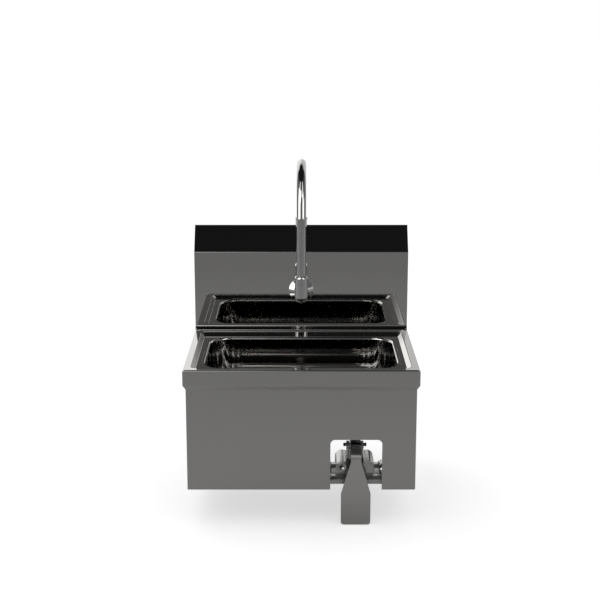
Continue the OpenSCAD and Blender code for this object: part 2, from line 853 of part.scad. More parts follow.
// Section of one barrel in X and Z: round above, square below with a cut inner corner
module lobe_section(side) {
    c = lobe_chamfer_share * barrel_r;
    scale([side, 1]) polygon(concat(arc([0, 0], barrel_r, 0, 180, 3 * corner_steps),
        [[-barrel_r, c - barrel_r], [c - barrel_r, -barrel_r], [barrel_r, -barrel_r]]));
}

module valve_body() {
    color("silver") difference() {
        union() {
            for (side = [-1, 1]) {
                translate([valve_x + side * lobe_x, 0, lobe_z])
                    along_y(valve_y, barrel_l) lobe_section(side);
                rod_x([side > 0 ? valve_x + lobe_x : valve_x - half_w - boss_l,
                    inlet_y, inlet_z], boss_r, barrel_r + boss_l);
            }
            translate([valve_x - lobe_x, valve_y + block_back, lobe_z - barrel_r])
                cube([2 * lobe_x, barrel_l - block_back, 2 * barrel_r - block_drop]);
            translate([valve_x - foot_w / 2, foot_y, shelf_z]) cube([foot_w, foot_l, foot_h + over]);
            rod_z([valve_x, outlet_y, lobe_z], outlet_boss_r, outlet_top_z - lobe_z);
        }
        for (side = [-1, 1]) {
            rod_y([valve_x + side * lobe_x, valve_y - over, lobe_z], cap_bore_r, cap_bore_l + over);
            rod_z([valve_x + side * plunger_pitch / 2, plunger_y, plunger_top_z - plunger_l - plunger_stroke],
                plunger_bore_r, plunger_l);
        }
        rod_z([valve_x, outlet_y, lobe_z], tube_r, outlet_top_z - lobe_z + over);
        foot_holes(foot_screw_r + thread_gap, shelf_z - over, foot_h + foot_screw_r);
        yoke_holes(yoke_screw_r + thread_gap, block_top_z - yoke_screw_l, yoke_screw_l + over);
    }
}

// Front plug of one barrel, with or without a hexagon socket for its adjusting key
module end_cap(side, socket) {
    color("silver") difference() {
        union() {
            rod_y([valve_x + side * lobe_x, valve_y - cap_t, lobe_z], cap_r, cap_t);
            rod_y([valve_x + side * lobe_x, valve_y - over, lobe_z],
                cap_bore_r - thread_gap / 2, cap_bore_l);
        }
        if (socket) hex_y([valve_x + side * lobe_x, valve_y - cap_t - over, lobe_z],
            socket_r, cap_bore_l / 2 + over);
    }
}

module hot_end_cap() {
    end_cap(-1, true);
}

module cold_end_cap() {
    end_cap(1, false);
}

module valve_screws() {
    color("lightgray") {
        foot_holes(foot_screw_r, shelf_z - shelf_t, shelf_t + foot_h);
        foot_holes(2 * foot_screw_r, shelf_z - shelf_t - foot_screw_r, foot_screw_r);
    }
}

// Gland nuts that the plungers pass through
module bonnet(side) {
    color("goldenrod") difference() {
        hex_z([valve_x + side * plunger_pitch / 2, plunger_y, block_top_z], bonnet_r, bonnet_h);
        rod_z([valve_x + side * plunger_pitch / 2, plunger_y, block_top_z - over],
            plunger_r + running_gap, bonnet_h + 2 * over);
    }
}

module hot_bonnet() {
    bonnet(-1);
}

module cold_bonnet() {
    bonnet(1);
}

// Inlets: a union nut on each side and an elbow that turns back to the supply

elbow_out = 18.2;
elbow_x = half_w + elbow_out;
union_l = 8.5;
union_r = 10.3;
tail_neck_r = 9.2;
tail_start = 13;
tail_l = 14;
inlet_bore_r = 5.5;

module union_nut(side) {
    x = side > 0 ? valve_x + half_w : valve_x - half_w - union_l;
    color("lightgray") difference() {
        hex_x([x + side * thread_gap, inlet_y, inlet_z], union_r, union_l);
        rod_x([x - over, inlet_y, inlet_z], boss_r + thread_gap / 2, union_l + 2 * over);
    }
}

module inlet_elbow(side) {
    x0 = half_w + boss_l;
    color("darkgray") translate([valve_x, 0, 0]) scale([side, 1, 1]) difference() {
        union() {
            translate([elbow_x, inlet_y, inlet_z]) sphere(r = elbow_r);
            rod_x([x0, inlet_y, inlet_z], boss_r, elbow_x - x0);
            rod_y([elbow_x, inlet_y, inlet_z], tail_neck_r, tail_start + over);
            rod_y([elbow_x, inlet_y + tail_start, inlet_z], supply_thread_r, tail_l);
        }
        rod_y([elbow_x, inlet_y, inlet_z], inlet_bore_r, tail_start + tail_l + over);
        rod_x([x0 - over, inlet_y, inlet_z], inlet_bore_r - side_gap, elbow_x - x0 + over);
    }
}

module hot_union_nut() {
    union_nut(-1);
}

module cold_union_nut() {
    union_nut(1);
}

module hot_inlet_elbow() {
    inlet_elbow(-1);
}

module cold_inlet_elbow() {
    inlet_elbow(1);
}

// Pivot: a yoke on the valve, its two screws, and the pin with a clip at each end

cheek_t = 6.2;
cheek_in = arm_w / 2 + side_gap;
head_l = 8.5;
post_l = 5.5;
yoke_base_t = 4;
yoke_screw_r = 2;
yoke_screw_l = 8;
yoke_screw_pitch = 11;
pin_r = pin_d / 2;
pin_l = 46;
clip_t = 0.8;
clip_r = 4.6;
clip_in = 1.6;

module yoke_holes(r, z, h) {
    for (side = [-1, 1])
        rod_z([valve_x + side * yoke_screw_pitch / 2, pivot_y + yoke_screw_r, z], r, h);
}

module pivot_yoke() {
    color("silver") difference() {
        union() {
            for (side = [-1, 1]) translate([valve_x + side * (cheek_in + cheek_t / 2), 0, 0]) {
                translate([-cheek_t / 2, pivot_y - head_l, pivot_z - eye_r])
                    cube([cheek_t, 2 * head_l, 2 * eye_r]);
                translate([-cheek_t / 2, pivot_y - post_l, block_top_z])
                    cube([cheek_t, post_l + head_l, pivot_z - block_top_z]);
            }
            translate([valve_x - cheek_in - cheek_t / 2, pivot_y - post_l, block_top_z])
                cube([2 * cheek_in + cheek_t, post_l + head_l, yoke_base_t]);
        }
        rod_x([valve_x - pin_l / 2, pivot_y, pivot_z], pin_r + running_gap, pin_l);
        yoke_holes(yoke_screw_r + thread_gap, block_top_z - over, yoke_base_t + 2 * over);
    }
}

module yoke_screws() {
    color("lightgray") {
        yoke_holes(yoke_screw_r, block_top_z - yoke_screw_l + over, yoke_screw_l - over + yoke_base_t);
        yoke_holes(2 * yoke_screw_r - thread_gap, block_top_z + yoke_base_t, yoke_screw_r);
    }
}

module pivot_pin() {
    color("silver") difference() {
        rod_x([valve_x - pin_l / 2, pivot_y, pivot_z], pin_r, pin_l);
        for (x = [clip_in, pin_l - clip_in - clip_t]) difference() {
            rod_x([valve_x - pin_l / 2 + x, pivot_y, pivot_z], pin_r + over, clip_t);
            rod_x([valve_x - pin_l / 2 + x - over, pivot_y, pivot_z], pin_r - side_gap,
                clip_t + 2 * over);
        }
    }
}

module pin_clips() {
    color("dimgray") for (x = [clip_in, pin_l - clip_in - clip_t]) difference() {
        rod_x([valve_x - pin_l / 2 + x, pivot_y, pivot_z], clip_r, clip_t);
        rod_x([valve_x - pin_l / 2 + x - over, pivot_y, pivot_z], pin_r - side_gap,
            clip_t + 2 * over);
    }
}

// Plungers and their return springs

spring_r = 3.6;
spring_wire_r = 0.6;
spring_turns = 4.5;
spring_rings = 8;
spring_sides = 6;
spring_low_z = bonnet_top_z + seat_gap;
spring_h = plunger_top_z - plunger_cap_t - seat_gap - spring_low_z;

module plunger(side) {
    color("silver") translate([valve_x + side * plunger_pitch / 2, plunger_y, plunger_top_z - plunger_l])
        rotate_extrude() polygon([[0, 0], [plunger_r, 0], [plunger_r, plunger_l - plunger_cap_t],
            [plunger_cap_r, plunger_l - plunger_cap_t],
            [plunger_cap_r, plunger_l - plunger_cap_t / 2],
            [plunger_r, plunger_l], [0, plunger_l]]);
}

module hot_plunger() {
    plunger(-1);
}

module cold_plunger() {
    plunger(1);
}

// Middle of the wire at step i, from the lower end up
spring_steps = spring_turns * spring_rings;
function spring_mid(i) = [spring_r * cos(360 * i / spring_rings),
    spring_r * sin(360 * i / spring_rings),
    spring_wire_r + (spring_h - 2 * spring_wire_r) * i / spring_steps];
function spring_ring(i) = let (g = 360 * i / spring_rings,
    rise = (spring_h - 2 * spring_wire_r) / spring_turns / (2 * PI * spring_r),
    n = [cos(g), sin(g), 0], t = unit([-sin(g), cos(g), rise]), b = cross(t, n))
    [for (k = [0:spring_sides - 1]) let (h = 360 * k / spring_sides)
        spring_mid(i) + spring_wire_r * (cos(h) * n + sin(h) * b)];

module coil_spring(side) {
    n = spring_sides;
    translate([valve_x + side * plunger_pitch / 2, plunger_y, spring_low_z])
        polyhedron(points = [for (i = [0:spring_steps]) each spring_ring(i)],
            faces = concat([[for (k = [0:n - 1]) k]],
                [[for (k = [n - 1:-1:0]) spring_steps * n + k]],
                [for (i = [0:spring_steps - 1], k = [0:n - 1])
                    let (a = i * n + k, b = i * n + (k + 1) % n)
                    each [[a, a + n, b + n], [a, b + n, b]]]), convexity = 8);
}

module hot_spring() {
    color("lightgray") coil_spring(-1);
}

module cold_spring() {
    color("lightgray") coil_spring(1);
}

// Least distance between the surfaces of two neighbouring curls
spring_gap = min([for (i = [0:spring_steps - spring_rings], j = [i + spring_rings - 1:spring_steps])
    norm(spring_mid(i) - spring_mid(j))]) - 2 * spring_wire_r;
echo(spring_gap = spring_gap);

// Knee lever: one bent plate from the knee pad up, over a lean and back over the yoke. Two ears
// under its arm carry the pivot's eye and the bar that presses on the plungers

lever_y = skirt_y - lever_out;
lean_r = 22;
arm_r = 6;
ear_t = 2.6;
pad_low_z = rim_z - pad_drop;
bend_z = arm_z - lean_h;
neck_z = bend_z - neck_l;
taper_z = neck_z - taper_h;
bush_r = 4;
lever_side = rounded([
    [lever_y, pad_low_z],
    [lever_y, bend_z],
    [lever_y + lean_d, arm_z],
    [pivot_y + eye_r, arm_z]],
    [lean_r, arm_r]);

// Front outline of the lever in X and Z
module lever_outline() {
    x = pad_w / 2;
    c = pad_corner_r;
    translate([valve_x, 0]) polygon(concat(
        arc([c - x, pad_low_z + c], c, 180, 270, corner_steps),
        arc([x - c, pad_low_z + c], c, 270, 360, corner_steps),
        [[x, taper_z], [arm_w / 2, neck_z], [arm_w / 2, arm_z + over],
            [-arm_w / 2, arm_z + over], [-arm_w / 2, neck_z], [-x, taper_z]]));
}

module knee_lever() {
    striker_w = 2 * (cheek_in + cheek_t);
    color("gray") difference() {
        union() {
            intersection() {
                along_x(valve_x - pad_w, 2 * pad_w) sheet(lever_side, -lever_t);
                along_y(lever_y - over, pivot_y - lever_y + eye_r + 2 * over) lever_outline();
            }
            for (x = [-arm_w / 2, arm_w / 2 - ear_t]) along_x(valve_x + x, ear_t) polygon([
                [plunger_y - striker_r, striker_z], [pivot_y + eye_r, pivot_z],
                [pivot_y + eye_r, arm_z - lever_t / 2], [plunger_y - striker_r, arm_z - lever_t / 2]]);
            rod_x([valve_x - arm_w / 2, pivot_y, pivot_z], eye_r, arm_w);
            rod_x([valve_x - striker_w / 2, plunger_y, striker_z], striker_r, striker_w);
        }
        rod_x([valve_x - arm_w / 2 - over, pivot_y, pivot_z], bush_r, arm_w + 2 * over);
    }
}

// Two plain bushes pressed into the eye from its two ends
module lever_bushes() {
    color("ivory") for (x = [-arm_w / 2, running_gap]) difference() {
        rod_x([valve_x + x, pivot_y, pivot_z], bush_r, arm_w / 2 - running_gap);
        rod_x([valve_x + x - over, pivot_y, pivot_z], pin_r + running_gap, arm_w / 2 + 2 * over);
    }
}

deck();
bowl();
splash();
splash_end_left();
splash_end_right();
skirt();
wall_bracket();
valve_bracket();
escutcheon();
faucet_body();
faucet_shank();
shank_washer();
shank_locknut();
swivel_nut();
spout_glide_ring();
spout_o_ring();
shank_elbow();
mixed_water_tube();
tube_nuts();
gooseneck();
aerator_housing();
aerator_insert();
drain_flange();
strainer();
drain_gasket();
drain_washer();
drain_locknut();
tailpiece();
tailpiece_washer();
tailpiece_nut();
valve_body();
hot_end_cap();
cold_end_cap();
hot_bonnet();
cold_bonnet();
valve_screws();
pivot_yoke();
yoke_screws();
pivot_pin();
pin_clips();
hot_union_nut();
cold_union_nut();
hot_inlet_elbow();
cold_inlet_elbow();
hot_plunger();
cold_plunger();
hot_spring();
cold_spring();
knee_lever();
lever_bushes();
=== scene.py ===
"""Looks of a wall-hung hand wash sink: polished sheet, chromed faucet, knee lever and mixing valve.

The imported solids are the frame. Visible pieces are surfaces worked out with numpy and laid over
the solids they stand for; the small fittings keep their solids' shapes with softened edges.
"""

import json
import math

import bmesh
import bpy
import numpy as np
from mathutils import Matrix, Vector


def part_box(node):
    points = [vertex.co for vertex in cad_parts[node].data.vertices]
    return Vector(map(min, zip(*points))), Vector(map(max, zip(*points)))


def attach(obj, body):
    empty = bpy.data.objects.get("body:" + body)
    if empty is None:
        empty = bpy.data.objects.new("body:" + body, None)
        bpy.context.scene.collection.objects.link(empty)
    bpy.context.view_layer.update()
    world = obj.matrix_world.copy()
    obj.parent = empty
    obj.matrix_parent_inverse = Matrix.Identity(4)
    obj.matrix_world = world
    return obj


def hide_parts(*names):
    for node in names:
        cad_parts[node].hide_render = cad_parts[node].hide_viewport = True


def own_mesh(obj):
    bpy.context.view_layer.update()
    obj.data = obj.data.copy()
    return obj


bl_info = {
    "name": "Hand wash sink",
    "version": (1, 0, 0),
    "blender": (4, 5, 0),
    "location": "View3D > Sidebar > Sink",
    "description": "Builds the looks of a wall-hung hand wash sink around its packed solids",
    "category": "Object",
}

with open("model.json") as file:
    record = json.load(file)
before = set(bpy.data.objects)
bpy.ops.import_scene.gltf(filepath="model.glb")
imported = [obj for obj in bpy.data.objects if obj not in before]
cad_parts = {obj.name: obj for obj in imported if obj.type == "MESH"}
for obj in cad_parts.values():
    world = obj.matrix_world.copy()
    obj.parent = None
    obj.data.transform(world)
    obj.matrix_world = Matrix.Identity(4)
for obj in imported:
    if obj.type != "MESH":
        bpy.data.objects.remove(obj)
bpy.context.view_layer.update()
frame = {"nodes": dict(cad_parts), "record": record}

# Radius of a capped profile's first and last point, and the round on most small edges
AXIS_R = 0.0001
SMALL_ROUND = 0.0004


def low(node):
    """Lowest corner of a node, as an array."""
    return np.array(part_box(node)[0])


def high(node):
    """Highest corner of a node, as an array."""
    return np.array(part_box(node)[1])


def middle(node):
    """Middle of a node's box, as an array."""
    return (low(node) + high(node)) / 2


def half_width(node):
    """Half of a node's size along X."""
    return (high(node)[0] - low(node)[0]) / 2


def tall(node):
    """Size of a node along Z."""
    return high(node)[2] - low(node)[2]


def length(name, about, default):
    """A length in metres, shown in the scene's units."""
    return bpy.props.FloatProperty(name=name, description=about, default=default,
                                   min=0.0, precision=4, unit="LENGTH")


def colour(name, about, default):
    """A colour without alpha."""
    return bpy.props.FloatVectorProperty(name=name, description=about, default=default,
                                         subtype="COLOR", size=3, min=0.0, max=1.0)


def share(name, about, default):
    """A number from 0 to 1."""
    return bpy.props.FloatProperty(name=name, description=about, default=default,
                                   min=0.0, max=1.0, subtype="FACTOR")


class SinkSheet(bpy.types.PropertyGroup):
    sheet: length("Sheet", "Thickness of the stainless sheet", 0.0012)
    fold: length("Fold", "Outside radius of a fold", 0.003)
    rim_strip: length("Rim strip", "Flat strip at the front and sides", 0.015)
    rear_strip: length("Rear strip", "Flat strip in front of the splash", 0.020)
    rim_fall: length("Rim fall", "How far the side strips fall towards the outside", 0.0009)
    recess_slope: length("Recess slope", "Width of the slope down to the deck", 0.009)
    deck_drop: length("Deck drop", "Drop from the rim to the deck", 0.006)
    recess_corner: length("Recess corner", "Plan radius of the recess corners", 0.012)
    apron: length("Apron", "Height of the apron band", 0.0315)
    hem_in: length("Hem set-back", "How far the hem leans in under the apron", 0.0053)
    bowl_side: length("Bowl side", "Rim side to the bowl's edge", 0.0396)
    bowl_front: length("Bowl front", "Rim front to the bowl's edge", 0.0346)
    bowl_rear: length("Bowl rear", "Bowl's edge to the rear of the rim", 0.0514)
    bowl_depth: length("Bowl depth", "Depth of the bowl below the deck", 0.127)
    bowl_corner: length("Bowl corner", "Plan radius of the bowl's corners", 0.042)
    bowl_lip: length("Bowl lip", "Radius of the rolled edge", 0.005)
    bowl_cove: length("Bowl cove", "Radius between wall and floor", 0.026)
    bowl_draft: length("Bowl draft", "Inward lean of the walls", 0.005)
    splash_cove: length("Splash cove", "Radius between rim and splash", 0.006)
    splash_face: length("Splash face", "Height of the upright face above the rim", 0.166)
    splash_top: length("Splash top", "Height of the slope's upper corner in the frame", 0.040)
    splash_hook: length("Splash hook", "Height of the hooked lip's end in the frame", 0.010)
    flange: length("Flange", "Width of the skirt's wall flanges", 0.024)
    cutout_x: length("Opening middle", "Middle of the lever's opening along the wall", 0.107)
    cutout_w: length("Opening width", "Width of the lever's opening", 0.1008)
    cutout_h: length("Opening height", "Height of the lever's opening", 0.1027)
    cutout_r: length("Opening corner", "Radius of the opening's corners", 0.0095)


class SinkFaucet(bpy.types.PropertyGroup):
    spout_r: length("Spout radius", "Outside radius of the spout's tube", 0.009525)
    spread: length("Spread", "Riser axis to outlet axis", 0.139)
    arch_z: length("Arch", "Height of the arch's middle in the frame", 0.117)
    tube_wall: length("Tube wall", "Wall of the spout's tube", 0.0012)
    socket_r: length("Socket", "Bore of the body's socket", 0.0097)
    seal_r: length("Seal", "Bottom radius of the O-ring's groove", 0.0119)
    neck_r: length("Neck", "Radius of the body's threaded neck", 0.0117)
    neck_h: length("Neck height", "Height of the threaded neck", 0.0024)
    arm_r: length("Inlet arm", "Radius of the body's arm into the splash", 0.011)
    nut_dome: length("Nut dome", "Height of the swivel nut's rounded shoulder", 0.0054)
    cup_h: length("Escutcheon", "Height of the escutcheon", 0.009)


class SinkLever(bpy.types.PropertyGroup):
    plate: length("Plate", "Thickness of the lever's plate", 0.003)
    lean_h: length("Lean height", "Height of the lean below the arm", 0.0235)
    lean_d: length("Lean depth", "Depth of the lean below the arm", 0.0156)
    lean_r: length("Lean bend", "Outside radius of the bend below the lean", 0.022)
    arm_r: length("Arm bend", "Outside radius of the bend into the arm", 0.006)
    neck: length("Neck", "Straight neck below the lean", 0.0113)
    taper: length("Taper", "Height over which the plate widens", 0.064)
    corner: length("Corner", "Radius of the pad's lower corners", 0.006)
    ear: length("Ear", "Thickness of the two ears under the arm", 0.0026)
    eye_r: length("Eye", "Outside radius of the pivot's eye", 0.0049)
    striker_r: length("Striker", "Radius of the bar over the plungers", 0.004)


class SinkLooks(bpy.types.PropertyGroup):
    sheet_colour: colour("Sheet", "Colour of the polished sheet", (0.545, 0.538, 0.528))
    chrome_colour: colour("Chrome", "Colour of the chrome plate", (0.60, 0.60, 0.595))
    lever_colour: colour("Lever", "Colour of the knee lever", (0.60, 0.592, 0.58))
    cast_colour: colour("Casting", "Colour of the plated castings", (0.50, 0.497, 0.49))
    screw_colour: colour("Screws", "Colour of turned steel", (0.48, 0.475, 0.465))
    brass_colour: colour("Brass", "Colour of machined brass", (0.55, 0.42, 0.24))
    copper_colour: colour("Copper", "Colour of tarnished copper tube", (0.20, 0.15, 0.12))
    nut_colour: colour("Union nuts", "Colour of the satin nuts and the yoke", (0.86, 0.86, 0.85))
    # The same near black is also painted shade on the tops of the lever and the yoke
    oxide_and_shade_colour: colour("Black oxide", "Colour of the blackened pin and yoke", (0.03, 0.03, 0.032))
    rubber_colour: colour("Rubber", "Colour of rubber seals", (0.025, 0.025, 0.027))
    plastic_colour: colour("Plastic", "Colour of plastic washers", (0.72, 0.71, 0.67))
    sheet_roughness: share("Sheet roughness", "Roughness of the polished sheet", 0.032)


class SinkStudio(bpy.types.PropertyGroup):
    floor_colour: colour("Floor", "Colour of the floor", (0.80, 0.80, 0.80))
    fill: bpy.props.FloatProperty(name="Fill", description="Strength of the even light",
                                  default=0.62, min=0.0)
    key: bpy.props.FloatProperty(name="Key", description="Power of the key lamp, in watts",
                                 default=14.0, min=0.0)
    floor_reach: length("Floor reach", "Radius of the floor", 3.2)
    floor_near: share("Floor near", "Share of the near floor's light that metal mirrors", 0.56)
    floor_far: share("Floor far", "Share of the far floor's light that metal mirrors", 0.42)


# Shapes: arrays of points, and the meshes made from them

def corner(before, point, after):
    """Unit vectors from a point to its neighbours, and half of the angle between them."""
    u = (before - point) / np.linalg.norm(before - point)
    v = (after - point) / np.linalg.norm(after - point)
    return u, v, math.acos(float(np.clip(u @ v, -1, 1))) / 2


def rounded(points, radii, steps=10):
    """An open path in a plane whose inner corners become arcs: each arc starts and ends where a
    circle of the given radius touches the two sides, and its points lie at equal angles."""
    pts = np.asarray(points, float)
    out = [pts[:1]]
    for a, p, b, r in zip(pts[:-2], pts[1:-1], pts[2:], radii):
        u, v, half = corner(a, p, b)
        axis = (u + v) / np.linalg.norm(u + v)
        centre = p + axis * r / math.sin(half)
        s = p + u * r / math.tan(half) - centre
        e = p + v * r / math.tan(half) - centre
        start = math.atan2(s[1], s[0])
        turn = math.copysign(math.pi - 2 * half, s[0] * e[1] - s[1] * e[0])
        g = start + turn * np.linspace(0, 1, steps + 1)
        out.append(centre + r * np.stack([np.cos(g), np.sin(g)], 1))
    out.append(pts[-1:])
    return np.concatenate(out)


def shifted(path, t):
    """The path moved to its left by t: each point moves along the mean of its two sides'
    normals, lengthened so that both sides keep their distance."""
    d = np.diff(path, axis=0)
    n = np.stack([-d[:, 1], d[:, 0]], 1) / np.linalg.norm(d, axis=1)[:, None]
    p = np.concatenate([n[:1], n])
    q = np.concatenate([n, n[-1:]])
    return path + t * (p + q) / (1 + (p * q).sum(1))[:, None]


def ring(x0, x1, y0, y1, r, z, steps=14):
    """Loops round rectangles with rounded corners, one for each row of the six arrays: four
    quarter circles whose centres are the corners moved in by r, joined by straight sides."""
    x0, x1, y0, y1, r, z = (np.asarray(v, float)[:, None] for v in (x0, x1, y0, y1, r, z))
    k = np.repeat(np.arange(4), steps + 1)
    g = math.pi / 2 * (k + np.tile(np.linspace(0, 1, steps + 1), 4))
    cx = np.where((k == 0) | (k == 3), x1 - r, x0 + r)
    cy = np.where(k < 2, y1 - r, y0 + r)
    return np.stack([cx + r * np.cos(g), cy + r * np.sin(g), z + 0 * g], 2)


def grid_faces(rows, columns, close_rows=True, close_columns=True, start=0):
    """Quads between neighbouring rows and columns of a grid, round again where it is closed."""
    j = np.arange(rows if close_rows else rows - 1)[:, None]
    i = np.arange(columns if close_columns else columns - 1)[None, :]
    a = j * columns + i
    b = j * columns + (i + 1) % columns
    c = ((j + 1) % rows) * columns + (i + 1) % columns
    d = ((j + 1) % rows) * columns + i
    return (start + np.stack([a, b, c, d], 2).reshape(-1, 4)).tolist()


def end_faces(rows, columns):
    """The flat faces that shut the first and the last row of a grid."""
    last = (rows - 1) * columns
    return [list(range(columns))[::-1], list(range(last, last + columns))]


def piece(name, points, faces, material, **says):
    """Puts points and faces into a mesh, and hands it on with what is said of it."""
    mesh = bpy.data.meshes.new(name)
    mesh.from_pydata(np.asarray(points, float).reshape(-1, 3).tolist(), [], faces)
    mesh.validate()
    return finish_piece(name, mesh, material, **says)


def finish_piece(name, mesh, material, body="sink", slot="polished_steel", stands_for=(),
                 sharp=35.0, weigh=True):
    """Welds, turns faces outwards and shades smooth up to the sharp angle. Hangs the object on the
    empty of the body it rides on, and hides the solids it stands for. The slot is not used."""
    work = bmesh.new()
    work.from_mesh(mesh)
    bmesh.ops.remove_doubles(work, verts=work.verts, dist=2e-6)
    bmesh.ops.recalc_face_normals(work, faces=work.faces)
    work.to_mesh(mesh)
    work.free()
    mesh.polygons.foreach_set("use_smooth", np.ones(len(mesh.polygons), bool))
    mesh.set_sharp_from_angle(angle=math.radians(sharp))
    mesh.materials.append(material)
    obj = placed(name, mesh)
    if weigh:
        weigh_normals(obj, 90)
    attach(obj, body)
    if stands_for:
        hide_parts(*stands_for)
    return obj


def weigh_normals(obj, weight):
    """Large faces lead the shading of their edges."""
    weighted = obj.modifiers.new("weighted", "WEIGHTED_NORMAL")
    weighted.keep_sharp = True
    weighted.weight = weight


def placed(name, data):
    """A new object in the scene."""
    obj = bpy.data.objects.new(name, data)
    bpy.context.scene.collection.objects.link(obj)
    return obj


def closed_skin(outer, inner):
    """Two grids of loops, the rows of the second taken backwards, as one closed skin."""
    both = np.concatenate([outer, inner[::-1]])
    return both.reshape(-1, 3), grid_faces(both.shape[0], both.shape[1])


def joined(parts):
    """Several sets of points and faces as one."""
    points, faces, start = [], [], 0
    for p, f in parts:
        p = np.asarray(p, float).reshape(-1, 3)
        points.append(p)
        faces += [[start + i for i in face] for face in f]
        start += len(p)
    return np.concatenate(points), faces


def turned_profile(profile, origin, axis="z", steps=96, closed=True):
    """A profile of radius and height turned about an axis through the origin: each point of it
    runs round a circle of its radius at its height. A closed profile gives a ring."""
    prof = np.asarray(profile, float)
    g = 2 * math.pi * np.arange(steps) / steps
    u = prof[:, 0, None] * np.cos(g)
    v = prof[:, 0, None] * np.sin(g)
    w = prof[:, 1, None] + 0 * g
    order = {"z": (u, v, w), "y": (v, w, u), "x": (w, u, v)}[axis]
    points = np.stack(order, 2) + np.asarray(origin, float)
    faces = grid_faces(len(prof), steps, close_rows=closed)
    return points.reshape(-1, 3), faces


def capped_profile(profile, origin, axis="z", steps=96):
    """A turned profile that starts and ends near the axis, shut with a flat face at each end."""
    points, faces = turned_profile(profile, origin, axis, steps, closed=False)
    return points, faces + end_faces(len(profile), steps)


def softened(profile, radius, steps=4):
    """A closed profile whose corners are rounded with one radius, or less on a short side."""
    pts = np.asarray(profile, float)
    out = []
    for a, p, b in zip(np.roll(pts, 1, 0), pts, np.roll(pts, -1, 0)):
        room = min(np.linalg.norm(a - p), np.linalg.norm(b - p)) * 0.45
        u, v, half = corner(a, p, b)
        r = min(radius, room * math.tan(half))
        if half > 1.45 or r < 1e-6:
            out.append(p[None])
            continue
        t = np.linspace(0, 1, steps + 1)[:, None]
        s, e = p + u * r / math.tan(half), p + v * r / math.tan(half)
        out.append((1 - t) ** 2 * s + 2 * t * (1 - t) * p + t ** 2 * e)
    return np.concatenate(out)


def prism(outline, left, right):
    """A closed outline of Y and Z carried along X, shut at both ends."""
    pts = np.asarray(outline, float)
    n = len(pts)
    ends = [np.column_stack([np.full(n, x), pts]) for x in (left, right)]
    return np.concatenate(ends), grid_faces(2, n, close_rows=False) + end_faces(2, n)


def swept(path, radius, steps=64, side=(1.0, 0.0, 0.0)):
    """A tube: a circle of the radius, square to the path at each point. Side, which is square to
    the path, is one of the circle's two directions."""
    d = np.gradient(path, axis=0)
    d /= np.linalg.norm(d, axis=1)[:, None]
    side = np.broadcast_to(side, path.shape)
    up = np.cross(d, side)
    g = (2 * math.pi * np.arange(steps) / steps)[None, :, None]
    return path[:, None] + radius * (np.cos(g) * side[:, None] + np.sin(g) * up[:, None])


# Finishes: each is a set of shader nodes on Object coordinates

def shader(name):
    """A new material, its node tree, its principled shader and its Object coordinates."""
    material = bpy.data.materials.new(name)
    material.use_nodes = True
    tree = material.node_tree
    coordinates = shader_node(tree, "TexCoord", {})
    return material, tree, tree.nodes["Principled BSDF"], coordinates.outputs["Object"]


def shader_node(tree, kind, inputs, **settings):
    """A new node: its settings first, then each input set to a value or linked to a socket."""
    node = tree.nodes.new(f"ShaderNode{kind}")
    for name, value in settings.items():
        setattr(node, name, value)
    for name, value in inputs.items():
        if isinstance(value, bpy.types.NodeSocket):
            tree.links.new(value, node.inputs[name])
        else:
            node.inputs[name].default_value = value
    return node


def number(tree, kind, a, b=0.0):
    """One number from one or two."""
    return shader_node(tree, "Math", {0: a, 1: b}, operation=kind).outputs["Value"]


def between(tree, value, low_value, high_value, start=0.3, end=0.7, kind="LINEAR"):
    """The value, spread from one number to another while it goes from start to end."""
    return shader_node(tree, "MapRange",
                       {"Value": value, "From Min": start, "From Max": end,
                        "To Min": low_value, "To Max": high_value},
                       interpolation_type=kind).outputs["Result"]


def noise(tree, vector, scale, detail, stretch=None):
    """Noise on the coordinates, drawn out along the axes where stretch is below 1."""
    if stretch:
        vector = shader_node(tree, "Mapping",
                             {"Vector": vector, "Scale": stretch}).outputs["Vector"]
    return shader_node(tree, "TexNoise",
                       {"Vector": vector, "Scale": scale, "Detail": detail}).outputs["Fac"]


def tinted(tree, value, dark, light):
    """A colour between two, chosen by the value."""
    return shader_node(tree, "Mix",
                       {"Factor": value, "A": (*dark, 1.0), "B": (*light, 1.0)},
                       data_type="RGBA").outputs["Result"]


def clouds(tree, vector, base, tone, scale):
    """A base colour that goes a little darker and lighter in soft clouds."""
    base = np.array(base)
    return tinted(tree, noise(tree, vector, scale, 4.0), base * (1 - tone),
                  np.minimum(base * (1 + tone), 1))


def bumped(tree, principled, value, strength, distance):
    """Bump from the value."""
    bump = shader_node(tree, "Bump",
                       {"Strength": strength, "Distance": distance, "Height": value})
    tree.links.new(bump.outputs["Normal"], principled.inputs["Normal"])


def metal(name, base, roughness, tone=0.03, grain=None, wave=0.0, painted_dark_top=None):
    """Metal whose tone and roughness vary a little in soft clouds. It may have grain lines drawn
    out along one axis, a slow wave in the surface, as on rolled sheet, or painted shade: a near
    black colour from a height upwards, standing in for the dark that a top face mirrors."""
    _, tree, principled, vector = shader(name)
    principled.inputs["Metallic"].default_value = 1.0
    # Painted shade: the colour turns near black above the height, with a soft edge
    if painted_dark_top:
        dark, height = painted_dark_top
        edge = 0.0002
        z = shader_node(tree, "SeparateXYZ", {"Vector": vector}).outputs["Z"]
        dark_top_share = between(tree, z, 0.0, 1.0, height - edge, height + edge)
        colour_out = tinted(tree, dark_top_share, base, dark)
    else:
        colour_out = clouds(tree, vector, base, tone, 14.0)
    tree.links.new(colour_out, principled.inputs["Base Color"])
    fine = noise(tree, vector, 900.0, 2.0, grain) if grain else noise(tree, vector, 60.0, 5.0)
    tree.links.new(between(tree, fine, roughness * 0.8, roughness * 1.2),
                   principled.inputs["Roughness"])
    if grain:
        bumped(tree, principled, fine, 0.06, 0.0002)
    if wave:
        bumped(tree, principled, noise(tree, vector, 5.0, 1.0), wave, 0.01)


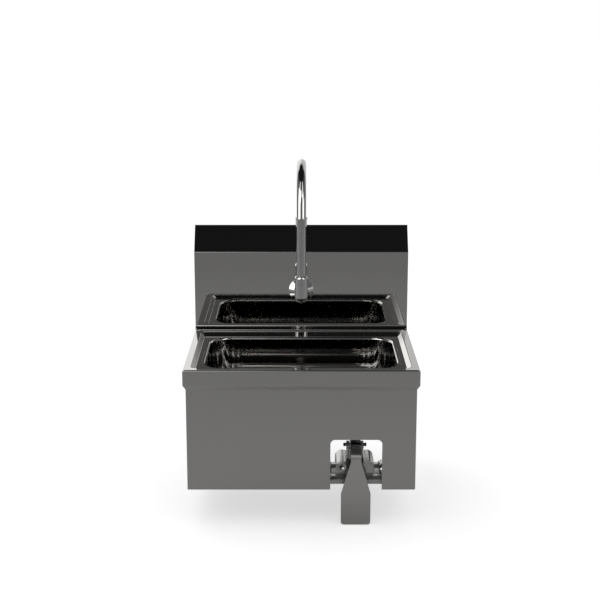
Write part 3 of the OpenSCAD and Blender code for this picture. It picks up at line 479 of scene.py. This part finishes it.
def solid(name, base, roughness):
    """Rubber or plastic: a tone that varies softly over a finely pitted surface."""
    _, tree, principled, vector = shader(name)
    tree.links.new(clouds(tree, vector, base, 0.06, 30.0), principled.inputs["Base Color"])
    pits = noise(tree, vector, 400.0, 3.0)
    tree.links.new(between(tree, pits, roughness * 0.9, roughness * 1.1),
                   principled.inputs["Roughness"])
    bumped(tree, principled, pits, 0.06, 0.0004)


def finishes():
    """The materials, made once for the whole scene."""
    looks = bpy.context.scene.sink_looks
    made = bpy.data.materials
    if "sheet_polished" not in made:
        metal("sheet_polished", looks.sheet_colour, looks.sheet_roughness, tone=0.015, wave=0.002)
        metal("chrome_bright", looks.chrome_colour, 0.035, tone=0.01)
        # Painted shade on the lever's top: near black above a height
        metal("lever_satin_shaded_top", looks.lever_colour, 0.18, painted_dark_top=(looks.oxide_and_shade_colour, -0.3392))
        metal("casting_plated", looks.cast_colour, 0.17, tone=0.05)
        metal("steel_turned", looks.screw_colour, 0.22, tone=0.04)
        metal("wire_drawn", looks.screw_colour, 0.16, tone=0.04)
        metal("rail_plain", looks.screw_colour, 0.28, tone=0.05, grain=(0.03, 1.0, 1.0))
        metal("brass_machined", looks.brass_colour, 0.26, tone=0.08)
        metal("copper_drawn", looks.copper_colour, 0.22, tone=0.12)
        metal("oxide_black", looks.oxide_and_shade_colour, 0.34, tone=0.1)
        # Painted shade on the yoke's top: near black above a height
        metal("yoke_shaded_top", looks.nut_colour, 0.2, painted_dark_top=(looks.oxide_and_shade_colour, -0.3522))
        metal("nut_satin", looks.nut_colour, 0.45, tone=0.12)
        solid("rubber_black", looks.rubber_colour, 0.62)
        solid("plastic_white", looks.plastic_colour, 0.42)
    return made


SLOT_FINISH = {
    "polished_steel": "sheet_polished", "bracket_steel": "rail_plain",
    "lever_steel": "lever_satin_shaded_top", "screw_steel": "steel_turned", "spring_steel": "wire_drawn",
    "chrome_plate": "chrome_bright", "cast_chrome": "casting_plated",
    "plain_brass": "brass_machined", "copper_tube": "copper_drawn",
    "white_plastic": "plastic_white", "black_rubber": "rubber_black"}
NODE_FINISH = {"hot_union_nut": "nut_satin", "cold_union_nut": "nut_satin",
               "pivot_pin": "oxide_black", "pin_clips": "oxide_black", "pivot_yoke": "yoke_shaded_top",
               "hot_bonnet": "casting_plated", "cold_bonnet": "casting_plated",
               "hot_plunger": "steel_turned", "cold_plunger": "steel_turned"}


def node_slot(node):
    """The material slot that the record gives a node."""
    return next(part["material_slot"] for part in frame["record"]["subparts"]
                if part["node"] == node)


def node_body(node):
    """The body that a node belongs to."""
    bodies = frame["record"]["behaviour"]["bodies"]
    return next(body for body, nodes in bodies.items() if node in nodes)


# Sheet metal

def deck_surface(s):
    """Deck, rim, apron and hem: loops round the rim, one for each point of a half section that
    runs from the hem up, over the rim and down to the bowl's seam, outside and again inside."""
    lo, hi = low("deck"), high("deck")
    rim_z = hi[2]
    seam = s.bowl_lip + 0.003
    path = rounded([(s.hem_in, lo[2]), (0, rim_z - s.apron), (0, rim_z), (s.rim_strip, rim_z),
                    (s.rim_strip + s.recess_slope, rim_z - s.deck_drop),
                    (s.bowl_front - seam, rim_z - s.deck_drop)], [s.fold] * 4, 12)

    def loops(section, skin):
        d, z = section[:, 0], section[:, 1]
        rear = np.maximum(skin, (d - s.fold) * (s.rear_strip + 0.008) / (s.rim_strip - s.fold))
        radius = np.maximum(s.fold, s.recess_corner - np.abs(d - s.rim_strip))
        x0, x1 = lo[0] + d, hi[0] - d
        y0, y1 = lo[1] + d, hi[1] - rear
        x0[-1], x1[-1] = lo[0] + s.bowl_side - seam, hi[0] - s.bowl_side + seam
        y0[-1], y1[-1] = lo[1] + s.bowl_front - seam, hi[1] - s.bowl_rear + seam
        radius[-1] = s.bowl_corner + seam
        points = ring(x0, x1, y0, y1, radius, z)
        steps = points.shape[1] // 4
        g = math.pi / 2 * (np.repeat(np.arange(4), steps) + np.tile(np.linspace(0, 1, steps), 4))
        fall = s.rim_fall * np.clip(1 - d / s.rim_strip, 0, 1)[:, None] * np.cos(g)[None] ** 2
        points[:, :, 2] -= fall * (z > rim_z - s.apron - 1e-6)[:, None]
        return points

    return closed_skin(loops(path, 0.0), loops(shifted(path, -s.sheet), s.sheet))


def bowl_surface(s):
    """Bowl: loops from the seam over the rolled edge, down the wall and through the cove to the
    floor, which falls to a round seat for the drain, outside and again inside."""
    lo, hi = low("bowl"), high("bowl")
    deck_z, seam = hi[2], s.bowl_lip + 0.003
    mid_y = middle("bowl")[1]
    floor_in = seam + s.bowl_draft + s.bowl_cove + 0.003
    path = rounded([(0, 0), (seam, 0), (seam + s.bowl_draft, -s.bowl_depth),
                    (floor_in, -s.bowl_depth)], [s.bowl_lip, s.bowl_cove], 16)
    seat_r = half_width("drain_flange") + 0.0003

    def skin(section, t):
        d, z = section[:, 0], section[:, 1]
        loops = ring(lo[0] + d, hi[0] - d, lo[1] + d, hi[1] - d,
                     s.bowl_corner + seam - d, deck_z + z)
        floor_z = deck_z - s.bowl_depth
        r = np.array([seat_r + 0.002, seat_r, 0.023])
        zz = np.array([floor_z - 0.004, floor_z - 0.006, floor_z - 0.006]) - t
        drain = ring(-r, r, mid_y - r, mid_y + r, r, zz)
        part = np.linspace(0, 1, 9)[1:-1, None, None]
        fall = loops[-1] * (1 - part) + drain[0] * part
        return np.concatenate([loops, fall, drain])

    return closed_skin(skin(path, 0.0), skin(shifted(path, -s.sheet), s.sheet))


class SINK_OT_deck(bpy.types.Operator):
    """Rim, apron, recessed deck and bowl as polished sheet"""
    bl_idname = "sink.deck"
    bl_label = "Deck and bowl"

    def execute(self, context):
        s = context.scene.sink_sheet
        steel = finishes()["sheet_polished"]
        piece("deck_sheet", *deck_surface(s), steel, stands_for=("deck",))
        piece("bowl_sheet", *bowl_surface(s), steel, stands_for=("bowl",))
        return {"FINISHED"}


def splash_surface(s):
    """Splash: its side section, a path with a cove, a fold and a hooked lip and a thickness to
    its rear, carried along X between the two end plates."""
    lo, hi = low("splash"), high("splash")
    rim_z = lo[2] + s.sheet
    front_y, hook_y = high("escutcheon")[1], hi[1]
    path = rounded([(lo[1], rim_z), (front_y, rim_z), (front_y, rim_z + s.splash_face),
                    (hook_y, s.splash_top), (hook_y, s.splash_hook)],
                   [s.splash_cove, s.fold, s.fold], 12)
    outline = np.concatenate([path, shifted(path, -s.sheet)[::-1]])
    return prism(outline, lo[0], hi[0])


def skirt_surface(s):
    """Skirt: its plan, a path round front and sides with a thickness, carried up from the lower
    edge, with the lever's opening cut in the front and a screw hole in each rear flange."""
    (_, y0, z0), (x1, y1, z1) = low("skirt"), high("skirt")
    plan = rounded([(-x1 + s.flange, y1), (-x1, y1), (-x1, y0), (x1, y0), (x1, y1),
                    (x1 - s.flange, y1)], [s.fold] * 4, 10)
    n = len(plan)
    mid = (z0 + z1) / 2
    xy = np.concatenate([plan, shifted(plan, s.sheet)])
    points = [np.column_stack([xy, np.full(2 * n, z)]) for z in (z0, mid, z1)]
    # Numbers of the points, by level, face of the sheet and place along the plan
    at = np.arange(6 * n).reshape(3, 2, n)
    steps = np.diff(plan, axis=0)
    front = int(np.argmax(np.linalg.norm(steps, axis=1) * (np.abs(steps[:, 1]) < 1e-9)))

    def strip(a, b, leave=()):
        return [[a[i], a[i + 1], b[i + 1], b[i]] for i in range(len(a) - 1) if i not in leave]

    faces = strip(at[2, 0], at[2, 1]) + strip(at[0, 0], at[0, 1], (front,))
    for end in (0, n - 1):
        faces += strip(at[:, 0, end], at[:, 1, end])
    for level, side in ((0, 0), (0, 1), (1, 0), (1, 1)):
        faces += strip(at[level, side], at[level + 1, side], (0, n - 2, front))
    start = 6 * n

    # The lever's opening: two upright sides and two round corners, on both faces of the sheet
    left, right = s.cutout_x - s.cutout_w / 2, s.cutout_x + s.cutout_w / 2
    top = z0 + s.cutout_h
    notch = rounded([(left, z0), (left, top), (right, top), (right, z0)], [s.cutout_r] * 2, 12)
    k = len(notch)
    for side, y in enumerate((y0, y0 + s.sheet)):
        points.append(np.column_stack([notch[:, 0], np.full(k, y), notch[:, 1]]))
        row = range(start + side * k, start + (side + 1) * k)
        faces.append([at[0, side, front], *row, *at[:, side, front + 1],
                      at[2, side, front], at[1, side, front]])
    faces += grid_faces(2, k, False, False, start)
    faces.append([at[0, 0, front], start, start + k, at[0, 1, front]])
    faces.append([start + k - 1, at[0, 0, front + 1], at[0, 1, front + 1], start + 2 * k - 1])
    start += 2 * k

    # Each rear flange: an upper and a lower half round the hole, on both faces of the sheet
    m, hole_r = 16, 0.0035
    g = math.pi * np.arange(2 * m) / m
    for i in (0, n - 2):
        hx = math.copysign((2 * x1 - s.flange) / 2, plan[i, 0])
        order = math.copysign(1, plan[i + 1, 0] - plan[i, 0])
        for side, y in enumerate((y1, y1 - s.sheet)):
            points.append(np.column_stack([hx - order * hole_r * np.cos(g), np.full(2 * m, y),
                                           mid + hole_r * np.sin(g)]))
            hole = list(range(start + side * 2 * m, start + (side + 1) * 2 * m))
            a, b = at[:, side, i], at[:, side, i + 1]
            faces.append([a[1], *hole[:m + 1], b[1], b[2], a[2]])
            faces.append([b[1], *hole[m:], hole[0], a[1], a[0], b[0]])
        faces += grid_faces(2, 2 * m, close_rows=False, start=start)
        start += 4 * m
    return np.concatenate(points), faces


class SINK_OT_splash(bpy.types.Operator):
    """Splash with its sloped top, and the skirt with the lever's opening"""
    bl_idname = "sink.splash"
    bl_label = "Splash and skirt"

    def execute(self, context):
        s = context.scene.sink_sheet
        steel = finishes()["sheet_polished"]
        piece("splash_sheet", *splash_surface(s), steel, stands_for=("splash",))
        piece("skirt_sheet", *skirt_surface(s), steel, stands_for=("skirt",))
        return {"FINISHED"}


# Faucet and drain

def spout_path(f, riser_y, socket_z, drop_z):
    """Up the riser, over a half circle to the front and down to the outlet."""
    mid_y = riser_y - f.spread / 2
    up = np.linspace(socket_z, f.arch_z, 10)[:-1]
    g = np.linspace(0, math.pi, 73)
    down = np.linspace(f.arch_z, drop_z, 6)[1:]
    y = np.concatenate([np.full(len(up), riser_y), mid_y + f.spread / 2 * np.cos(g),
                        np.full(len(down), riser_y - f.spread)])
    z = np.concatenate([up, f.arch_z + f.spread / 2 * np.sin(g), down])
    return np.stack([0 * y, y, z], 1)


def tube_surface(f, riser_y):
    """Gooseneck: a tube along the spout's path, with the collar that the nut keeps down."""
    in_aerator = 0.0024
    path = spout_path(f, riser_y, low("gooseneck")[2], high("aerator_housing")[2] - in_aerator)
    tube = closed_skin(swept(path, f.spout_r), swept(path, f.spout_r - f.tube_wall))
    inner_r, collar_r, lift, thick = 0.0085, 0.0114, 0.0033, 0.0030
    collar = turned_profile([(inner_r, 0), (collar_r, 0), (collar_r, thick), (inner_r, thick)],
                            (0, riser_y, low("swivel_nut")[2] + lift))
    return joined([tube, collar])


def body_surface(f, riser_y, r):
    """Faucet body: a round foot, an upright cylinder with neck, socket and O-ring groove, and
    the arm to the splash."""
    dome = np.linspace(-math.pi / 2, 0, 24)
    inlet_z, top = middle("escutcheon")[2], low("swivel_nut")[2]
    clearance, groove, bevel, arm_start = 0.0003, 0.0024, 0.0001, 0.002
    floor_z = low("gooseneck")[2] - clearance
    seal = middle("spout_o_ring")[2] + np.array([-groove, groove]) / 2
    upright = np.concatenate([
        np.column_stack([np.maximum(r * np.cos(dome), AXIS_R), inlet_z + r * np.sin(dome)]),
        [(r, top - bevel), (r - bevel, top), (f.neck_r, top), (f.neck_r, top + f.neck_h),
         (f.socket_r, top + f.neck_h), (f.socket_r, seal[1]), (f.seal_r, seal[1]),
         (f.seal_r, seal[0]), (f.socket_r, seal[0]), (f.socket_r, floor_z), (AXIS_R, floor_z)]])
    reach = high("escutcheon")[1] - riser_y - 0.001
    arm = capped_profile([(AXIS_R, arm_start), (f.arm_r, arm_start), (f.arm_r, reach),
                          (AXIS_R, reach)], (0, riser_y, inlet_z), "y")
    return joined([capped_profile(upright, (0, riser_y, 0)), arm])


def nut_surface(f, riser_y, r):
    """Swivel nut: a cylinder with an elliptic shoulder, bored for the tube, collar and neck."""
    foot, h = low("swivel_nut")[2], tall("swivel_nut")
    g = np.radians(np.arange(0, 91, 9))
    mouth_r, tube_r, collar_r, neck_r, foot_r = 0.0104, 0.00965, 0.0119, 0.0121, 0.0101
    neck_h, collar_h = 0.0031, 0.0066
    dome = zip(mouth_r + (r - mouth_r) * np.cos(g), h - f.nut_dome * (1 - np.sin(g)))
    nut = softened([(foot_r, 0.0), (r, 0.0), *dome, (tube_r, h), (tube_r, collar_h),
                    (collar_r, collar_h), (collar_r, neck_h), (neck_r, neck_h), (neck_r, 0.0)],
                   SMALL_ROUND)
    return turned_profile(nut, (0, riser_y, foot))


def cup_surface(f):
    """Escutcheon: a cone with a rounded rim, its foot against the splash."""
    r = half_width("escutcheon")
    bore_r, face_r, rim = 0.0113, 0.0155, 0.0018
    cup = rounded([(bore_r, 0.0), (r, 0.0), (r, -rim), (face_r, -f.cup_h), (bore_r, -f.cup_h)],
                  [0.0003, 0.0012, 0.0015], 6)
    return turned_profile(cup, (0, high("escutcheon")[1], middle("escutcheon")[2]), "y")


def aerator_surface(f, riser_y):
    """Aerator housing: a shell that widens to its rim and takes the tube's end in its bore."""
    foot, h = low("aerator_housing")[2], tall("aerator_housing")
    bore_r, tube_r, foot_r, waist_r, rim_r = 0.0096, 0.00963, 0.0108, 0.0113, 0.0120
    rim, slope, seat = 0.0020, 0.0002, 0.0025
    shell = softened([(bore_r, 0.0), (foot_r, 0.0), (waist_r, h - rim - slope), (rim_r, h - rim),
                      (rim_r, h), (tube_r, h), (tube_r, h - seat), (bore_r, h - seat)],
                     SMALL_ROUND)
    return turned_profile(shell, (0, riser_y - f.spread, foot))


class SINK_OT_faucet(bpy.types.Operator):
    """Escutcheon, faucet body, swivel nut, gooseneck and aerator in bright chrome"""
    bl_idname = "sink.faucet"
    bl_label = "Faucet"

    def execute(self, context):
        f = context.scene.sink_faucet
        chrome = finishes()["chrome_bright"]
        r = half_width("faucet_body")
        riser_y = low("faucet_body")[1] + r
        for name, surface, body, node in (
                ("gooseneck_tube", tube_surface(f, riser_y), "spout", "gooseneck"),
                ("faucet_elbow", body_surface(f, riser_y, r), "sink", "faucet_body"),
                ("swivel_collar", nut_surface(f, riser_y, r), "sink", "swivel_nut"),
                ("escutcheon_cup", cup_surface(f), "sink", "escutcheon"),
                ("aerator_shell", aerator_surface(f, riser_y), "spout", "aerator_housing")):
            piece(name, *surface, chrome, body=body, slot="chrome_plate", stands_for=(node,))
        return {"FINISHED"}


class SINK_OT_drain(bpy.types.Operator):
    """Drain flange with its rolled rim and recess"""
    bl_idname = "sink.drain"
    bl_label = "Drain"

    def execute(self, context):
        chrome = finishes()["chrome_bright"]
        node = "drain_flange"
        foot, top, r = low(node)[2], high(node)[2], half_width(node)
        throat_r, neck_r, recess_r, lip_r = 0.0175, 0.0224, 0.0208, 0.0240
        thick, brim, slope, recess = 0.0016, 0.0007, 0.0022, 0.005
        seat = top - thick
        profile = softened([(throat_r, foot), (neck_r, foot), (neck_r, seat), (r, seat),
                            (r, seat + brim), (r - slope, top), (lip_r, top),
                            (recess_r, seat), (recess_r, top - recess),
                            (throat_r, top - recess)], 2 * SMALL_ROUND)
        piece("drain_rim", *turned_profile(profile, (0, middle(node)[1], 0)), chrome,
              stands_for=(node,))
        return {"FINISHED"}


# Lever and valve

def lever_surface(s):
    """Knee lever: a plate whose side section goes up the front, leans back and runs over to the
    pivot, as wide at each height as the front outline, with two ears, an eye and a striker bar."""
    (_, y0, foot_z), (_, y1, top) = low("knee_lever"), high("knee_lever")
    cx, pin_y, pin_z = middle("lever_bushes")
    half_arm, half_pad = half_width("lever_bushes"), half_width("knee_lever")
    neck = top - s.lean_h - s.neck
    taper = neck - s.taper
    path = rounded([(y0, foot_z), (y0, top - s.lean_h), (y0 + s.lean_d, top), (y1, top)],
                   [s.lean_r, s.arm_r], 16)
    q = np.linspace(0, 1, 13)[:-1]
    foot = foot_z + s.corner * (1 - np.cos(q * math.pi / 2))
    near = 0.002
    levels = np.concatenate([foot, [foot_z + s.corner, taper - near, taper, taper + near,
                                    neck - near, neck]])
    path = np.concatenate([np.column_stack([np.full(len(levels), y0), levels]), path[1:]])
    inner = shifted(path, -s.plate)
    z = path[:, 1]
    half = np.interp(z, [foot_z, taper, neck, top + 1], [half_pad, half_pad, half_arm, half_arm])
    dip = np.maximum(s.corner - (z - foot_z), 0)
    half = half - s.corner + np.sqrt(np.maximum(s.corner ** 2 - dip ** 2, 0))
    edge = SMALL_ROUND
    n = (inner - path) / np.linalg.norm(inner - path, axis=1)[:, None] * edge
    o, i = path + n, inner - n
    sides = ((-1, edge, path), (1, edge, path), (1, 0, o), (1, 0, i),
             (1, edge, inner), (-1, edge, inner), (-1, 0, i), (-1, 0, o))
    rows = np.stack([np.column_stack([cx + sign * (half - inset), yz])
                     for sign, inset, yz in sides], 1)
    plate = (rows.reshape(-1, 3),
             grid_faces(len(rows), 8, close_rows=False) + end_faces(len(rows), 8))
    eye_bore, eye_round = 0.0040, 0.0003
    eye = turned_profile(softened([(eye_bore, -half_arm), (s.eye_r, -half_arm),
                                   (s.eye_r, half_arm), (eye_bore, half_arm)], eye_round),
                         (cx, pin_y, pin_z), "x", 64)
    bar_y, bar_z = middle("hot_plunger")[1], pin_z + s.eye_r - s.striker_r
    reach = half_width("pivot_yoke")
    bar = capped_profile([(AXIS_R, -reach), (s.striker_r - edge, -reach),
                          (s.striker_r, -reach + edge), (s.striker_r, reach - edge),
                          (s.striker_r - edge, reach), (AXIS_R, reach)], (cx, bar_y, bar_z), "x", 64)
    under = top - s.plate / 2
    bore = high("lever_bushes")[2] - pin_z + 0.0001
    g = np.radians(np.arange(180, 29, -15))
    over = list(zip(pin_y + bore * np.cos(g), pin_z + bore * np.sin(g)))
    ear = softened([(bar_y - s.striker_r, bar_z), *over, (y1, over[-1][1]), (y1, under),
                    (bar_y - s.striker_r, under)], SMALL_ROUND)
    ears = [prism(ear, cx + x, cx + x + s.ear) for x in (-half_arm, half_arm - s.ear)]
    return joined([plate, eye, bar, *ears])


class SINK_OT_lever(bpy.types.Operator):
    """Knee lever as one bent plate in satin steel"""
    bl_idname = "sink.lever"
    bl_label = "Knee lever"

    def execute(self, context):
        piece("lever_plate", *lever_surface(context.scene.sink_lever), finishes()["lever_satin_shaded_top"],
              body="knee_lever", slot="lever_steel", stands_for=("knee_lever",))
        return {"FINISHED"}


def spring_surface(node, turns=4.5, wire=0.0006):
    """A compression spring: a circle of the wire's radius carried along a helix of even rise."""
    c = middle(node)
    coil = half_width(node) - wire
    steps = int(turns * 36)
    t = np.linspace(0, 1, steps + 1)
    g = 2 * math.pi * turns * t
    rise = low(node)[2] + wire + (tall(node) - 2 * wire) * t
    path = np.stack([c[0] + coil * np.cos(g), c[1] + coil * np.sin(g), rise], 1)
    points = swept(path, wire, 12, np.stack([np.cos(g), np.sin(g), 0 * g], 1))
    faces = grid_faces(len(path), 12, close_rows=False) + end_faces(len(path), 12)
    return points.reshape(-1, 3), faces


class SINK_OT_springs(bpy.types.Operator):
    """The two return springs, which on the real valve flatten as the plungers go down; here each is
    a still coil with a mesh of its own
    """
    bl_idname = "sink.springs"
    bl_label = "Springs"

    def execute(self, context):
        for side in ("hot", "cold"):
            node = f"{side}_spring"
            coil = piece(f"{side}_coil", *spring_surface(node), finishes()["wire_drawn"],
                         slot="spring_steel", stands_for=(node,), weigh=False)
            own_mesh(coil)
        return {"FINISHED"}


REFINED = ("valve_body", "cold_end_cap", "hot_bonnet", "cold_bonnet",
           "valve_screws", "pivot_yoke", "yoke_screws", "pivot_pin", "pin_clips",
           "hot_union_nut", "cold_union_nut", "hot_inlet_elbow", "cold_inlet_elbow",
           "hot_plunger", "cold_plunger", "lever_bushes", "valve_bracket")


def softened_copy(node, edge=0.00025):
    """A welded copy of a node's solid with a small round on its edges."""
    mesh = frame["nodes"][node].data.copy()
    mesh.name = f"{node}_soft"
    mesh.materials.clear()
    work = bmesh.new()
    work.from_mesh(mesh)
    bmesh.ops.remove_doubles(work, verts=work.verts, dist=2e-6)
    bmesh.ops.dissolve_limit(work, angle_limit=math.radians(1.0), verts=work.verts,
                             edges=work.edges)
    work.to_mesh(mesh)
    work.free()
    slot = node_slot(node)
    finish = finishes()[NODE_FINISH.get(node, SLOT_FINISH[slot])]
    obj = finish_piece(f"{node}_soft", mesh, finish, node_body(node), slot,
                       (node,), 30.0, False)
    bevel = obj.modifiers.new("edges", "BEVEL")
    bevel.width = edge
    bevel.segments = 2
    bevel.limit_method = "ANGLE"
    bevel.angle_limit = math.radians(40)
    bevel.use_clamp_overlap = True
    weigh_normals(obj, 50)


class SINK_OT_fittings(bpy.types.Operator):
    """Valve fittings with softened edges, and finishes on the solids that stay as they are"""
    bl_idname = "sink.fittings"
    bl_label = "Fittings"

    def execute(self, context):
        made = finishes()
        for node in REFINED:
            softened_copy(node)
        self.socket_cap(made["casting_plated"])
        for node, obj in frame["nodes"].items():
            obj.data.materials.clear()
            obj.data.materials.append(made[SLOT_FINISH[node_slot(node)]])
        return {"FINISHED"}

    def socket_cap(self, finish):
        """Hot end cap: a disc and plug with a recess whose bottom is a cone of 59 degrees."""
        node = "hot_end_cap"
        c, start, r = middle(node), low(node)[1], half_width(node)
        long = high(node)[1] - start
        mouth_r, plug_r, disc, bevel = 0.0052, 0.0075, 0.002, 0.0005
        bottom = mouth_r / math.tan(math.radians(59))
        profile = [(AXIS_R, bottom), (mouth_r, 0.0), (r - bevel, 0.0), (r, bevel), (r, disc),
                   (plug_r, disc), (plug_r, long), (AXIS_R, long)]
        piece("hot_cap_face", *capped_profile(profile, (c[0], start, c[2]), "y"), finish,
              slot="cast_chrome", stands_for=(node,))


# Stage: floor, even light, panels that the metal mirrors, and the camera

def world_panels(tree, direction):
    """Brightness of the studio by direction, as the metal sees it: the sum of soft-edged panels,
    each given by its turn from the front in degrees, its height and its strength."""
    def step(value, start, end, low_value=0.0, high_value=1.0):
        return between(tree, value, low_value, high_value, start, end, "SMOOTHSTEP")

    def product(a, b):
        return number(tree, "MULTIPLY", a, b)

    to_degrees = 180 / math.pi
    parts = shader_node(tree, "SeparateXYZ", {"Vector": direction}).outputs
    turn = product(number(tree, "ARCTAN2", parts["X"], product(parts["Y"], -1.0)), to_degrees)
    height = product(number(tree, "ARCSINE", parts["Z"]), to_degrees)

    # Left edge, its lean, right edge, its lean, height from, height to, strength, softness of
    # turn and of height; a lean is the edge's turn for each degree of height
    panels = (
        (-69, 0.2, -18.6, 0.66, -40, 30, 2.3, 1, 6),
        (30, 0.1, 55, -0.33, -40, 22, 1.9, 2, 5),
        (57, 0.0, 80, 0.0, -40, 4, 0.45, 4, 6),
        (6.5, 0.0, 31, 0.0, 10.5, 20, 1.0, 2, 2),
        (-46, 0.0, -26, 0.0, 30, 54, 1.3, 3, 5),
        (26, 0.0, 44, 0.0, 22, 54, 1.3, 3, 5),
    )
    total = step(height, 30, 50, 0.16, 0.012)
    for t0, lean0, t1, lean1, h0, h1, strength, st, sh in panels:
        left = number(tree, "SUBTRACT", turn, product(height, lean0))
        right = number(tree, "SUBTRACT", turn, product(height, lean1))
        box = product(step(left, t0 - st / 2, t0 + st / 2),
                      step(right, t1 - st / 2, t1 + st / 2, 1.0, 0.0))
        box = product(box, step(height, h0 - sh / 2, h0 + sh / 2))
        box = product(box, step(height, h1 - sh / 2, h1 + sh / 2, 1.0, 0.0))
        total = number(tree, "ADD", total, product(box, strength))
    away = number(tree, "ABSOLUTE", turn)
    backdrop = product(step(away, 116, 132), step(height, 42, 60, 1.0, 0.0))
    return number(tree, "ADD", total, product(backdrop, step(turn, -150, 150, 0.95, 0.55)))


class SINK_OT_stage(bpy.types.Operator):
    """Pale floor, even studio light, panels for the metal to mirror, and the camera"""
    bl_idname = "sink.stage"
    bl_label = "Stage"

    def execute(self, context):
        studio = context.scene.sink_studio
        self.floor(studio)
        self.world(studio)
        self.lamp(studio)
        self.camera()
        context.scene.view_settings.view_transform = "Standard"
        return {"FINISHED"}

    def floor(self, studio):
        """A disc just under the knee pad, white to the camera, that keeps the shadow."""
        z = low("knee_lever")[2] - 0.001
        g = 2 * math.pi * np.arange(128) / 128
        r = studio.floor_reach
        rim = np.stack([r * np.cos(g), r * np.sin(g) - 0.2, np.full(128, z)], 1)
        mesh = bpy.data.meshes.new("studio_floor")
        mesh.from_pydata(rim.tolist(), [], [list(range(128))])
        material, tree, principled, vector = shader("floor_pale")
        principled.inputs["Roughness"].default_value = 0.9
        principled.inputs["Specular IOR Level"].default_value = 0.0
        rays = shader_node(tree, "LightPath", {}).outputs
        y = shader_node(tree, "SeparateXYZ", {"Vector": vector}).outputs["Y"]
        darker = between(tree, y, 1 - studio.floor_far, 1 - studio.floor_near, -2.2, -0.4)
        kept = number(tree, "SUBTRACT", 1.0, number(tree, "MULTIPLY", rays["Is Glossy Ray"], darker))
        paint = shader_node(tree, "VectorMath", {0: studio.floor_colour, "Scale": kept},
                            operation="SCALE")
        tree.links.new(paint.outputs["Vector"], principled.inputs["Base Color"])
        mirror_or_clear = number(tree, "ADD", rays["Is Glossy Ray"], rays["Is Transmission Ray"])
        behind = number(tree, "MULTIPLY", mirror_or_clear, between(tree, y, 0.0, 0.45, 0.1, 0.9))
        own_light = 0.52
        lifted = number(tree, "MULTIPLY", rays["Is Camera Ray"], own_light)
        glow = shader_node(tree, "Emission",
                           {"Strength": number(tree, "ADD", behind, lifted)})
        both = shader_node(tree, "AddShader",
                           {0: principled.outputs["BSDF"], 1: glow.outputs["Emission"]})
        tree.links.new(both.outputs["Shader"], tree.nodes["Material Output"].inputs["Surface"])
        mesh.materials.append(material)
        placed("studio_floor", mesh)

    def world(self, studio):
        """White to the camera, panels to mirrors, and an even fill to everything else."""
        world = bpy.data.worlds.new("studio")
        bpy.context.scene.world = world
        world.use_nodes = True
        tree = world.node_tree
        tree.nodes.clear()
        rays = shader_node(tree, "LightPath", {}).outputs
        direction = shader_node(tree, "TexCoord", {}).outputs["Generated"]
        white = number(tree, "ADD", rays["Is Camera Ray"], rays["Is Transmission Ray"])
        mirror = number(tree, "MULTIPLY", rays["Is Glossy Ray"], world_panels(tree, direction))
        named = number(tree, "MINIMUM", 1.0, number(tree, "ADD", white, rays["Is Glossy Ray"]))
        even = number(tree, "MULTIPLY", number(tree, "SUBTRACT", 1.0, named), studio.fill)
        strength = number(tree, "ADD", number(tree, "ADD", white, mirror), even)
        glow = shader_node(tree, "Background",
                           {"Color": (1.0, 1.0, 1.0, 1.0), "Strength": strength})
        shader_node(tree, "OutputWorld", {"Surface": glow.outputs["Background"]})

    def lamp(self, studio):
        """One soft lamp, high at the left."""
        data = bpy.data.lights.new("key", "AREA")
        data.shape = "RECTANGLE"
        span = 2.4
        data.size, data.size_y = span, span
        data.energy = studio.key
        lamp = placed("key", data)
        place, target = np.array([-1.3, 0.6, 2.6]), np.array([0.0, -0.2, -0.25])
        lamp.location = place
        aim = target - place
        lamp.rotation_euler = (math.atan2(math.hypot(aim[0], aim[1]), -aim[2]), 0.0,
                               math.atan2(aim[0], -aim[1]) + math.pi)
        lamp.visible_glossy = False

    def camera(self):
        """A 75 mm lens that looks down on the rim a little."""
        look_down = 13.31
        data = bpy.data.cameras.new("view")
        data.sensor_width, data.lens = 36.0, 74.94
        camera = placed("view", data)
        camera.location = (-0.0026, -2.6604, 0.4955)
        camera.rotation_euler = (math.radians(90 - look_down), 0.0, 0.0)
        bpy.context.scene.camera = camera


class SINK_PT_panel(bpy.types.Panel):
    bl_idname = "SINK_PT_panel"
    bl_label = "Hand wash sink"
    bl_space_type = "VIEW_3D"
    bl_region_type = "UI"
    bl_category = "Sink"

    def draw(self, context):
        for operator in OPERATORS:
            self.layout.operator(operator.bl_idname)
        for group in GROUPS:
            box = self.layout.box()
            values = getattr(context.scene, group)
            for name in values.__annotations__:
                box.prop(values, name)


OPERATORS = (SINK_OT_deck, SINK_OT_splash, SINK_OT_faucet, SINK_OT_drain, SINK_OT_lever,
             SINK_OT_springs, SINK_OT_fittings, SINK_OT_stage)
GROUPS = {"sink_sheet": SinkSheet, "sink_faucet": SinkFaucet, "sink_lever": SinkLever,
          "sink_looks": SinkLooks, "sink_studio": SinkStudio}


def register():
    for cls in (*GROUPS.values(), *OPERATORS, SINK_PT_panel):
        bpy.utils.register_class(cls)
    for name, cls in GROUPS.items():
        setattr(bpy.types.Scene, name, bpy.props.PointerProperty(type=cls))


def unregister():
    for name in GROUPS:
        delattr(bpy.types.Scene, name)
    for cls in (SINK_PT_panel, *reversed(OPERATORS), *reversed(GROUPS.values())):
        bpy.utils.unregister_class(cls)


def main():
    """Builds every piece in order."""
    register()
    bpy.ops.sink.fittings()
    bpy.ops.sink.deck()
    bpy.ops.sink.splash()
    bpy.ops.sink.faucet()
    bpy.ops.sink.drain()
    bpy.ops.sink.lever()
    bpy.ops.sink.springs()
    bpy.ops.sink.stage()


if __name__ == "__main__":
    main()
